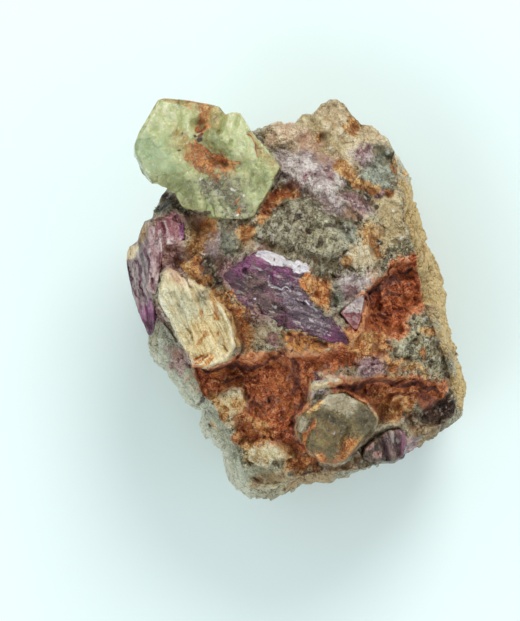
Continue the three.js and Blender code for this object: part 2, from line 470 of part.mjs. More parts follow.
const CRYSTALS = {
  rhodizite_crystal: { lobes: RHODIZITE, colour: "#b7c391", roughness: 0.35 },
  purple_tourmaline: { lobes: PURPLE_TOURMALINE, colour: "#6a4760", roughness: 0.3 },
  pink_tourmaline: { lobes: PINK_TOURMALINE, colour: "#93565c", roughness: 0.3 },
  left_tourmaline: { lobes: LEFT_TOURMALINE, colour: "#8b7078", roughness: 0.45 },
  feldspar_blade: { lobes: FELDSPAR_BLADE, colour: "#cebf94", roughness: 0.6 },
  glassy_crystal: { lobes: GLASSY_CRYSTAL, colour: "#7f7350", roughness: 0.2 },
  lower_tourmaline: { lobes: LOWER_TOURMALINE, colour: "#54403a", roughness: 0.4 },
};
const GROOVE_TOP = 21.2;

const specimen = new THREE.Group();

function addPiece(name, solid, colour, roughness) {
  const look = { color: colour, roughness, metalness: 0, flatShading: true };
  const mesh = new THREE.Mesh(geometryOf(solid), new THREE.MeshStandardMaterial(look));
  mesh.name = name;
  specimen.add(mesh);
}

// The block keeps its one large body when the sockets are cut, and the crumbs that come loose are dropped
let block = solidOf(blockGeometry());
for (const { lobes } of Object.values(CRYSTALS)) block = block.subtract(crystalSolid(lobes, SEAM));
const bodies = block.decompose().sort((a, b) => b.volume() - a.volume());
if (bodies[1]?.volume() > LARGEST_CRUMB) throw new Error("a socket cuts the block in two");
addPiece("matrix", bodies[0], "#8d6a4c", 0.9);

for (const [name, { lobes, colour, roughness }] of Object.entries(CRYSTALS)) {
  let solid = crystalSolid(lobes);
  if (lobes === RHODIZITE)
    for (const cut of grooveSolids(RHODIZITE_GROOVE, GROOVE_TOP)) solid = solid.subtract(cut);
  addPiece(name, solid, colour, roughness);
}

// The middle of the specimen's underside is the origin
const box = new THREE.Box3().setFromObject(specimen);
const middle = box.getCenter(new THREE.Vector3());
for (const piece of specimen.children) piece.geometry.translate(-middle.x, -middle.y, -box.min.z);

export default specimen;
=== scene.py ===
"""Looks for a hand specimen of rhodizite that lies on its back on a pale table, with its crystal face up.

The rock is one closed surface worked out with numpy: a sheet of cells drawn out to the rim of the broken
face, with rings down the flank and in under the base. Each crystal is a smaller surface of the same kind,
whose height is the lowest of its crystal faces. Minerals are painted by weights that are kept on the
surface's own points. Lengths in the tables are millimetres, and the meshes are in metres. The tables have a
middle of their own, and new_piece moves what is made from them to the frame's place.
"""
import math

import bpy
import numpy as np
from bpy.props import FloatProperty, FloatVectorProperty, IntProperty, PointerProperty
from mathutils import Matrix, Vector


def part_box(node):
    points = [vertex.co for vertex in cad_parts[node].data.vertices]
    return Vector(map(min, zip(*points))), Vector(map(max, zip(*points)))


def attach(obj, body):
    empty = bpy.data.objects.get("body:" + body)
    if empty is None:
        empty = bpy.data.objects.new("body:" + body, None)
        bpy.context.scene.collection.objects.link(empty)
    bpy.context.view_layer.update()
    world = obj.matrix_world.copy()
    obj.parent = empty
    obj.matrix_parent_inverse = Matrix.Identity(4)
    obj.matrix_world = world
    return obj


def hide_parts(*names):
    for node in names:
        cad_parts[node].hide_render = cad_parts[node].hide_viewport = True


bl_info = {
    "name": "Rhodizite specimen",
    "version": (1, 0, 0),
    "blender": (4, 5, 0),
    "location": "View3D > Sidebar > Specimen",
    "description": "Builds the rock, the crystals and the stage of a rhodizite hand specimen",
    "category": "Add Mesh",
}

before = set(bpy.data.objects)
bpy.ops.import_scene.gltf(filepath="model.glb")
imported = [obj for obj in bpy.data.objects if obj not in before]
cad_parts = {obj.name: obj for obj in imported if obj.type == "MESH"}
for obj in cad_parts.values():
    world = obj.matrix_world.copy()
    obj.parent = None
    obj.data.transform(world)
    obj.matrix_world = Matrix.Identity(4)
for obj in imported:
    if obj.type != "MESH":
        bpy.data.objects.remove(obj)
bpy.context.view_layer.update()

MM = 0.001
TURN = 2 * math.pi
# Keeps a division from being by nothing
LEAST = 1e-12

# Sizes of the rock

FACE_MIDDLE = np.array([0.0, 0.25])
# The foot's width as a share of the waist's, its height, and the flat base's width as a share of the foot's
FOOT_SHARE = 0.9
FOOT_HEIGHT = 0.9
BASE_SHARE = 0.94
# The flank below the waist curves in as the share of the way down to this power
FOOT_CURVE = 1.6
BASE_RINGS = 4

# Where the broken face turns over into the flanks, anticlockwise from the right
RIM = [
    (11.6, 0), (11.35, 1.5), (11.1, 3), (10.95, 4.2), (10.4, 5.5), (9.95, 7), (9.7, 9), (9.4, 10.5),
    (9.4, 11.5), (9.35, 12.6), (9, 13.8), (8.5, 14.75), (7.9, 15.15), (7.3, 15.7), (7, 16), (6.1, 16.15),
    (5.7, 16.6), (5.2, 17.2), (4.8, 17.75), (4.35, 18.15), (3.8, 18.4), (3.2, 18.4), (2.8, 18.15),
    (2.35, 18), (2, 17.5), (1.5, 17.05), (1, 17.1), (0.6, 16.95), (0.3, 16.3), (0, 15.95), (-0.9, 15.9),
    (-1.2, 16.1), (-2, 15.95), (-2.8, 15.5), (-3.9, 15.2), (-5.6, 14.4), (-8.2, 12.7), (-10.6, 11),
    (-12.2, 9.5), (-12.6, 8.6), (-12.9, 7.6), (-13.4, 6.6), (-13.3, 4.8), (-13.1, 2), (-12.9, 0),
    (-12.4, -1.8), (-11.7, -2.6), (-11, -3.6), (-10.4, -4.6), (-9.9, -5.4), (-9.5, -6.4), (-9, -7.5),
    (-8.5, -8.5), (-7.9, -9.3), (-7.2, -10.3), (-6.5, -11.5), (-5.9, -12.6), (-5.4, -13.6), (-5.1, -14.6),
    (-4.8, -15.6), (-4.2, -16.5), (-3.4, -17), (-2.3, -17.1), (-1.2, -16.8), (0, -16.2), (1.2, -15.9),
    (2.4, -15.7), (4, -15.6), (5.6, -15.4), (7.2, -15.1), (8.6, -14.6), (9.5, -13.9), (10.3, -13.1),
    (11.2, -12.5), (12.4, -12.1), (13.5, -11.5), (14.5, -10.7), (14.8, -10), (14.55, -8.8), (14.3, -7.5),
    (14.1, -6.3), (13.6, -5), (13, -3.5), (12.5, -2.3), (11.9, -1)]

# The widest line round the rock, with its height, anticlockwise from the right
WAIST = [
    (14.3, -0.5, 6.5), (14.15, 0.6, 6.3), (13.8, 1.6, 6.2), (13.45, 3, 6), (13.05, 4.3, 6),
    (12.6, 5.4, 6.2), (12.2, 6.7, 6.5), (11.8, 7.8, 7), (11.45, 8.8, 7.4), (11.1, 10.2, 8),
    (10.9, 11.3, 8.4), (10.5, 12, 8.8), (10.05, 12.8, 9), (9.6, 13.6, 9), (9.05, 14.3, 8.6), (8.5, 14.8, 8),
    (7.2, 15.7, 7.6), (6, 16.1, 7.2), (5.1, 17.1, 7), (3.8, 18.2, 7), (2.8, 18, 7.2), (1.9, 17.3, 7.6),
    (0.7, 16.8, 7.8), (0, 15.8, 7.8), (-1.4, 15.9, 7.6), (-3, 15.3, 7.4), (-5.6, 14.3, 7.4),
    (-8.2, 12.6, 7.6), (-10.6, 11, 8), (-12.3, 9.4, 8.4), (-12.8, 8, 8.2), (-13.6, 6.6, 7.8),
    (-13.9, 4.8, 7.2), (-13.8, 2, 6.8), (-13.6, -0.5, 6.6), (-13.4, -2.2, 6.6), (-13.6, -3.2, 7),
    (-13.8, -4, 7.2), (-13.5, -4.85, 7), (-13.25, -5.5, 6.8), (-12.75, -6.1, 6.6), (-12.3, -6.25, 6.4),
    (-11.9, -6.75, 6.4), (-11.5, -7.55, 6.4), (-11.1, -8.05, 6.2), (-10.6, -9.15, 6.2), (-10.3, -9.65, 6.2),
    (-9.8, -10.2, 6.2), (-9.15, -10.4, 6.2), (-8.9, -10.8, 6.4), (-9.05, -11.7, 6.6), (-8.55, -12.45, 6.6),
    (-8, -13.15, 6.6), (-7.4, -13.7, 6.6), (-6.8, -14.2, 6.6), (-6.7, -14.9, 6.6), (-6.5, -16, 6.6),
    (-6.05, -17.05, 6.8), (-5.5, -17.75, 7), (-4.6, -18.25, 7), (-3.9, -18.6, 7), (-2.3, -18.55, 7),
    (-1.1, -18.1, 6.8), (0.3, -17.5, 6.6), (1.9, -17, 6.4), (4.1, -16.6, 6.2), (6.2, -16.1, 6.2),
    (8.2, -15.4, 6.4), (9.7, -14.7, 6.8), (11.2, -13.7, 7.2), (12.8, -13.05, 7.4), (14.2, -12.1, 7.6),
    (15.4, -10.9, 7.8), (15.75, -10, 7.8), (15.85, -8.7, 7.6), (15.8, -7.2, 7.2), (15.5, -6.2, 7),
    (15.1, -4.9, 6.8), (14.8, -3.6, 6.6), (14.5, -2.5, 6.5), (14.35, -1.3, 6.5)]

# Heights of the face before its slabs and hollows: place across, place up, height above the base
FACE_HEIGHTS = [
    (3.5, 18, 11.6), (1, 16.4, 12.6), (5.5, 16.2, 11.8), (3.5, 15, 14.4), (-1.5, 15.4, 13.2),
    (7, 15.4, 11.8), (9, 13.4, 12), (0, 13, 16), (5, 12.2, 15.8), (8.2, 11.2, 14.4), (-2, 12, 16.6),
    (2, 8.4, 18.6), (6, 8.2, 17.2), (9.2, 8, 14.8), (0, 5.2, 20), (4, 4.2, 19.5), (8, 4.4, 17.2),
    (10.4, 4.6, 15.2), (-2.4, 2.6, 20.2), (-4.6, 6.2, 19.4), (-8.6, 6, 18.8), (-11.4, 6.2, 17.2),
    (-12.8, 5.4, 16.4), (-12.6, 8.4, 14), (-10.6, 8.6, 15.8), (-9, 11, 13.6), (-6, 13, 13.4),
    (-12.6, 2.2, 17.2), (-10.4, 4, 18.6), (-9.6, 0.8, 18.9), (-8, -3, 19.2), (-6.2, 0.2, 19.6),
    (-3.4, -0.8, 19.8), (1.6, -1.2, 20), (3, -3.2, 19.8), (5, 1.4, 18.8), (8, 0.2, 16.6), (10.6, 0.2, 15),
    (7, -4, 18), (10.4, -3, 16.6), (13, -5, 13.8), (11, -6, 17), (7, -6.2, 18.8), (0, -4.2, 18.8),
    (3, -7.2, 18.4), (-3, -6.8, 17.8), (-7, -7, 17.2), (-2, -10, 17.4), (-6.2, -10, 16.4), (8, -9.2, 16.4),
    (11, -8.4, 15.8), (13.4, -8, 13.4), (4, -11.4, 17.8), (-4.2, -13.8, 15.6), (-0.8, -13.6, 16.6),
    (2, -15.2, 14.6), (7.2, -13.4, 14.8), (9.4, -12.6, 14.2), (12, -10.8, 13.4), (14.4, -10, 11.6),
    (-3.2, -16.8, 11), (-4.6, -15.2, 13), (-11.6, -2.6, 16.8)]
HEIGHT_SPREAD = 1.7

# Slabs that stand above the face and hollows that lie below it: rise, width of the broken edge, corners
SLABS_AND_HOLLOWS = {
    "brick red hollow": (-0.9, 0.8, [
        (-8.9, -5.6), (-7.7, -6.3), (-6.4, -5.9), (-5, -5.3), (-3.2, -5.5), (-2, -4.7), (-0.8, -5.3),
        (0.5, -5.3), (2.4, -5), (4, -4.4), (5.3, -4.6), (5.4, -6.3), (4.2, -7.2), (2.4, -7.3), (1.3, -8.2),
        (0.6, -9.6), (-0.2, -10.6), (-0.2, -12.4), (0.4, -13.8), (-0.6, -14), (-1.5, -13), (-2.4, -12.4),
        (-3.6, -12.9), (-4.9, -13), (-5.4, -11.8), (-5.3, -10.6), (-4.3, -9.4), (-4.8, -8), (-5.6, -7.5),
        (-6.8, -8.4), (-8.2, -8.7), (-9.1, -7.2)]),
    "khaki corner at the bottom": (0.6, 1.2, [
        (-5.4, -15), (-1.4, -14.8), (0.6, -16.2), (-1.6, -17.4), (-4.8, -17.2)]),
    "right hollow": (-1.2, 0.7, [
        (6.1, 0.2), (7, 1.3), (8.2, 2), (8.9, 2.9), (9.8, 3.5), (10.8, 3.5), (11, 2), (11.3, 0.4),
        (11.2, -0.6), (10.1, -0.8), (9.7, -1.8), (9.6, -3), (8.4, -2.9), (7, -2.6), (6.1, -2.4),
        (5.9, -1)]),
    "scoop under the ledge": (-0.75, 0.9, [
        (3.9, -7.9), (5.8, -8.6), (6.8, -9.4), (7.4, -10.5), (8.1, -11), (9, -10.7), (10, -9.9), (12, -9.3),
        (13.3, -8.5), (13.8, -7.7), (11, -7.35), (8, -7.2), (5.4, -7.5)]),
    "ledge over the scoop": (0.6, 0.4, [
        (4.6, -7.3), (6.5, -7.1), (8, -6.95), (11, -7.1), (13.8, -7.3), (13.2, -6.6), (11.4, -5.6),
        (9.6, -5.5), (8, -5.1), (5.8, -5.3), (5.4, -6.6)]),
    "bark-like ridge": (0.7, 0.8, [
        (0.9, -6.6), (1, -7.2), (1.5, -7.8), (0.9, -8.5), (1.1, -9), (1.6, -8.5), (2.6, -8), (3.4, -7.7),
        (5, -7.2), (4.2, -6.7), (2.4, -6.4)]),
    "orange flake": (0.9, 0.4, [
        (-1.1, -3.1), (-1.2, -4.2), (-0.6, -5), (1, -5.05), (2.6, -4.7), (3.6, -4.2), (2.2, -3.6),
        (0.6, -3.25)]),
    "mauve ridge": (0.5, 0.6, [
        (3.2, 1.6), (3.4, 0.2), (4, -0.5), (5, 0), (6.2, 0.6), (7, 1.4), (7.9, 2.5), (6.4, 2.6),
        (4.2, 2.4)]),
    "quartz plateau": (0.6, 0.5, [
        (-4, 5.9), (-2.6, 5.1), (-0.6, 4.4), (2, 3.7), (3.8, 3.9), (5.2, 4.6), (4.4, 5.6), (3.4, 7.2),
        (1.2, 9), (-0.6, 8.9), (-1.8, 7.7), (-3.2, 7.2)]),
    "quartz step": (0.35, 0.4, [
        (3.9, 7.4), (4.6, 5.8), (5.4, 4.6), (4.4, 3.8), (5.4, 2.7), (7.2, 2.8), (7.8, 3.2), (6.6, 5),
        (5, 6.9)]),
    "stained cleft": (-0.7, 0.4, [
        (-3.4, 7.4), (-2.2, 7.8), (-1.2, 8.9), (-0.2, 9.3), (0.2, 9.9), (-0.6, 10.3), (-2.1, 9.9),
        (-2.9, 8.6)]),
    "summit": (0.6, 1.4, [
        (1.9, 15.6), (3, 14.9), (4.6, 15.2), (5.2, 16.2), (4.4, 17.5), (3.2, 17.9), (2.2, 17.2)]),
    "mauve slab": (0.45, 0.5, [
        (-1.2, 11.8), (0.2, 10.4), (1.6, 9.6), (4, 9.8), (4.6, 10.9), (3.9, 12.2), (1.6, 12.9),
        (-0.4, 13.3)]),
    "upper purple knob": (0.35, 0.3, [(5.6, 12.6), (6.3, 12.4), (7, 13), (6.9, 14), (5.8, 13.9)]),
    "lower purple knob": (0.45, 0.35, [(3.9, 9.2), (5.2, 8), (6.4, 7.2), (7, 7.6), (6.4, 8.8), (5.2, 9.9)]),
    "blue-grey slab": (0.35, 0.4, [
        (5.9, 12.1), (5.9, 11.2), (6.9, 10.4), (8.6, 9.7), (8.9, 10.6), (8.6, 12.3)]),
    "green slab": (0.5, 0.5, [
        (9.9, -1.2), (9.9, -2.8), (9.2, -3.6), (7.9, -3.2), (7.9, -4.6), (9.4, -5.1), (11.6, -5.4),
        (13, -4.4), (12.3, -2.6), (11.2, -0.8)]),
    "dark corner": (-0.6, 0.4, [
        (9.6, -10.6), (9.8, -11.4), (10.6, -12.2), (13.4, -11.4), (14.8, -10.2), (14.4, -8.6), (13.4, -8.6),
        (12.3, -9.6)]),
    "cream patch": (0.5, 0.4, [
        (-6.6, -8.9), (-6.8, -9.8), (-6.2, -10.8), (-5.4, -10.5), (-4.6, -9.8), (-4.6, -8.6), (-5, -7.6),
        (-5.9, -8)]),
    "cream ridge": (0.6, 0.4, [
        (-4.3, -13.6), (-4.4, -14.8), (-2.6, -15.2), (-2, -14.6), (-0.3, -14.3), (0, -13.6), (-1.6, -12.8),
        (-3, -12.6)]),
    "dark grain": (0.5, 0.35, [(-6.6, 6.8), (-6.7, 4.8), (-6, 4.2), (-5.1, 4.5), (-5, 5.9), (-5.3, 6.8)]),
}

# Broken grains, coarse to fine: size, how far they stand out, seed, and how sharp their borders are. The
# first two sizes are the coarse ones
COARSE_SIZES = 2
GRAINS = [(3.4, 0.5, 11, 12.0), (1.7, 0.28, 23, 16.0), (0.85, 0.2, 31, 34.0), (0.4, 0.12, 47, 34.0)]
# The flank's broad dents, in the same terms
FLANK_DENTS = (4.5, 1.0, 37, 20.0)
# At the rim the grains stand out this far from straight up, with this share of their relief
RIM_LEAN = math.pi / 14
RIM_ROUGHNESS = 0.5
EDGE_WANDER = 0.22
# How much smoother than the rest these minerals break, and the least share of fine relief that is left
CALM = {"grey_albite": 0.6, "teal_mica": 0.7, "tan_crust": 0.4, "blue_grey_quartz": 0.4, "mauve_mica": 0.4,
        "beige_albite": 0.35, "peach_albite": 0.35, "khaki_albite": 0.3}
LEAST_FINE = 0.25
# How much smoother than the rest the rock is beside a crystal
BESIDE_CRYSTAL = 0.5
# What is drawn from a place wanders by cloudy noise at two scales: size, share and seed step
WANDER_SCALES = ((1.1, 1.0, 0), (0.45, 0.6, 5))
# The share of the fine grains' relief on the flank
FLANK_FINE = 0.6
# The share of all relief at the top of the flank, and how much of it is lost by the waist and below it
FLANK_ROUGHNESS = 0.7
WAIST_LOSS = 0.4
# On the flank a mineral drifts sideways by up to this much, all of it at this depth under this level
FLANK_DRIFT = 1.8
FLANK_DRIFT_DEPTH = 5.0
FLANK_DRIFT_SIZE = 2.6
RIM_LEVEL = 14.5
# Least and most depth of a pit that its painted shade and odd grains still follow
PITS = (-0.4, 0.35)
# The two reaches, in cells, over which a pit's surroundings are averaged, and the share of each
SURROUNDINGS = ((2, 0.6), (7, 0.4))

# The minerals. Each is dark, middle and pale sRGB, the colour of its odd grains, its roughness, its glint
# from grain to grain, and how far its lightness goes grain by grain and not in clouds

MINERALS = {
    # Rhodizite: glassy yellow-green, even all over, with cloudy and honey stained depths
    "pale_rhodizite": ("b0b77c", "d2d899", "eef0ca", "cdc682", 0.14, 0.05, 0.12),
    "teal_rhodizite": ("93aa7c", "b0c592", "cddab2", "b9c48c", 0.14, 0.05, 0.12),
    "honey_rhodizite": ("8a7436", "b8a25c", "dccf96", "9a7434", 0.3, 0.08, 0.3),
    # Olive rhodizite, also laid as painted shade in a thin line round the crystal's rounded rim
    "olive_rhodizite": ("5c6334", "8a9152", "b2b880", "978c4a", 0.28, 0.06, 0.3),
    "cloudy_rhodizite": ("3d3a24", "646044", "a6a280", "7c6638", 0.35, 0.3, 0.75),
    # Tourmaline: glassy and dark, plum where it is thin, lilac and grey where it is bruised, and silky on a
    # clean side face, whose pale colour is partly whitish cracks and partly a painted reflection of the lamp
    "plum_tourmaline": ("220a18", "522038", "8a5068", "602c3c", 0.25, 0.2, 0.45),
    # Vivid purple, also laid as painted shade on the left prism's lower end
    "vivid_tourmaline": ("300a24", "682052", "a8608c", "6a2440", 0.2, 0.12, 0.3),
    "lilac_tourmaline": ("423038", "6a5560", "b09ea4", "54303e", 0.25, 0.25, 0.55),
    "brown_tourmaline": ("32201f", "5c403e", "9c7c74", "4a2530", 0.4, 0.3, 0.7),
    "grey_tourmaline": ("5c4a4e", "92807e", "beaeaa", "74505c", 0.4, 0.2, 0.5),
    "pink_tourmaline": ("8a5c62", "bea0a0", "e0d0cc", "9a5a68", 0.35, 0.2, 0.45),
    "red_tourmaline": ("481c22", "6e3036", "ac7070", "683038", 0.25, 0.15, 0.4),
    "rose_tourmaline": ("6c3a40", "a4646a", "d2a0a0", "80485a", 0.25, 0.2, 0.45),
    "black_tourmaline": ("1a100c", "38261e", "74604a", "5a3040", 0.35, 0.3, 0.55),
    "silky_tourmaline": ("a8a0a8", "d6d0d4", "f2eff0", "93808a", 0.16, 0.02, 0.2),
    # Feldspar: pearly cream, in fibres along the blade
    "cream_feldspar": ("b29d69", "dccb9c", "f4e9c8", "cfae78", 0.5, 0.2, 0.7),
    "green_feldspar": ("a9a380", "d6d1ae", "eeeace", "bfa97a", 0.45, 0.2, 0.65),
    "yellow_feldspar": ("b8975a", "e0c68e", "f6e6b8", "cc9c55", 0.5, 0.2, 0.7),
    # Clouded quartz: glassy grey-green with brown depths. On the glassy crystal its grey is partly painted
    # light on the upper face, and its dark glass partly painted shade on the right face
    "olive_glass": ("463c1c", "705f34", "9c8a54", "8a5c2c", 0.28, 0.06, 0.35),
    "grey_glass": ("776c52", "a39779", "ccc4a8", "a3926c", 0.25, 0.06, 0.25),
    "dark_glass": ("3a3019", "5c4e2e", "857650", "5c4526", 0.25, 0.06, 0.3),
    # The rock: sugary quartz and albite that glint grain by grain, mica flakes, and dull earthy crusts
    "sugary_quartz": ("4f4732", "857b60", "bab396", "94794f", 0.3, 0.35, 0.95),
    "beige_albite": ("a48e68", "d4be96", "eedfbe", "c29a68", 0.45, 0.15, 0.45),
    "khaki_albite": ("96815a", "c2ac7e", "e0d0a4", "a8865a", 0.45, 0.15, 0.45),
    "peach_albite": ("b08a68", "dab894", "f0dec4", "c48e80", 0.45, 0.15, 0.45),
    "mauve_mica": ("8a7470", "bda8a4", "e6dad4", "90646e", 0.3, 0.25, 0.5),
    "grey_albite": ("7e7d64", "b0af94", "d8d7c2", "98906e", 0.55, 0.12, 0.5),
    "tan_crust": ("7c5d2c", "b8945a", "dcc08a", "8c743c", 0.85, 0.08, 0.85),
    "brown_crust": ("5f4830", "967650", "c4aa80", "7a5430", 0.8, 0.2, 0.7),
    "green_mica": ("4e4834", "928a68", "ccc4a2", "94744a", 0.35, 0.4, 0.8),
    "teal_mica": ("33352e", "5e5d4e", "94927c", "6e6048", 0.3, 0.2, 0.45),
    "blue_grey_quartz": ("666a5a", "939684", "bdbfab", "a5946c", 0.35, 0.25, 0.5),
    "cream_albite": ("b08c52", "e0c48a", "f6eac4", "c8863a", 0.5, 0.25, 0.7),
    # Purple grains, also laid as painted shade beside the lower end of the left prism
    "purple_grains": ("45222c", "80565c", "ba9694", "94664f", 0.25, 0.35, 0.8),
    "maroon_grains": ("54302c", "8a5c54", "bd9488", "a8744a", 0.35, 0.3, 0.8),
    "smoky_quartz": ("1a110a", "4a2e1c", "8c745a", "7a3c1c", 0.2, 0.4, 0.7),
    "ochre_stain": ("5e2c10", "9e5c24", "d6964c", "7a3a18", 0.6, 0.12, 0.65),
    "hematite": ("722c14", "c0602f", "eca06a", "cc7a3a", 0.85, 0.12, 0.75),
    "rust": ("90441a", "c87e3c", "f0bc7c", "b05a2c", 0.8, 0.16, 0.75),
    "limonite": ("8a5626", "bd8546", "e8c488", "9a5526", 0.75, 0.15, 0.75),
    # Dark hematite stain, also laid as painted shadow under edges and ledges
    "dark_hematite": ("4c1f10", "7c3a24", "aa6844", "5a2a1c", 0.85, 0.06, 0.6),
    # Dark mica flakes, also laid as painted shadow under the rhodizite's lower edge
    "dark_mica": ("241810", "4a3a28", "84725a", "5c3c22", 0.3, 0.4, 0.7),
    "white_quartz": ("b9b3a2", "d9d4c6", "efece2", "c7bda6", 0.2, 0.2, 0.4),
}
# How much further than their outlines the crusts spread, and how strongly they follow the seams of crystals
SPREAD = {"hematite": 0.3, "rust": 0.1}
SEAMS = {"brown_crust": 0.3, "maroon_grains": 0.25}
# What hides the depth of a clear crystal
CRUSTS = ("ochre_stain", "limonite", "rust", "hematite", "dark_hematite", "dark_mica", "brown_crust",
          "peach_albite", "green_mica", "cloudy_rhodizite")
# An area's edge is this many times softer than its table says. A vein or spot is whole out to half its size
# and gone at one and a half times it
SOFTNESS = 2.2
VEIN_FADE = 1.5


def area(soft_edge, *corners):
    """Part of a mineral's pattern: all inside the corners, with a soft edge."""
    return "area", soft_edge, list(corners)


def vein(half_width, *places):
    """Part of a mineral's pattern: a line through the places, about as wide as twice the half width."""
    return "vein", half_width, places


def spot(radius, *places):
    """Part of a mineral's pattern: a round spot of about the radius at each place."""
    return "spot", radius, places


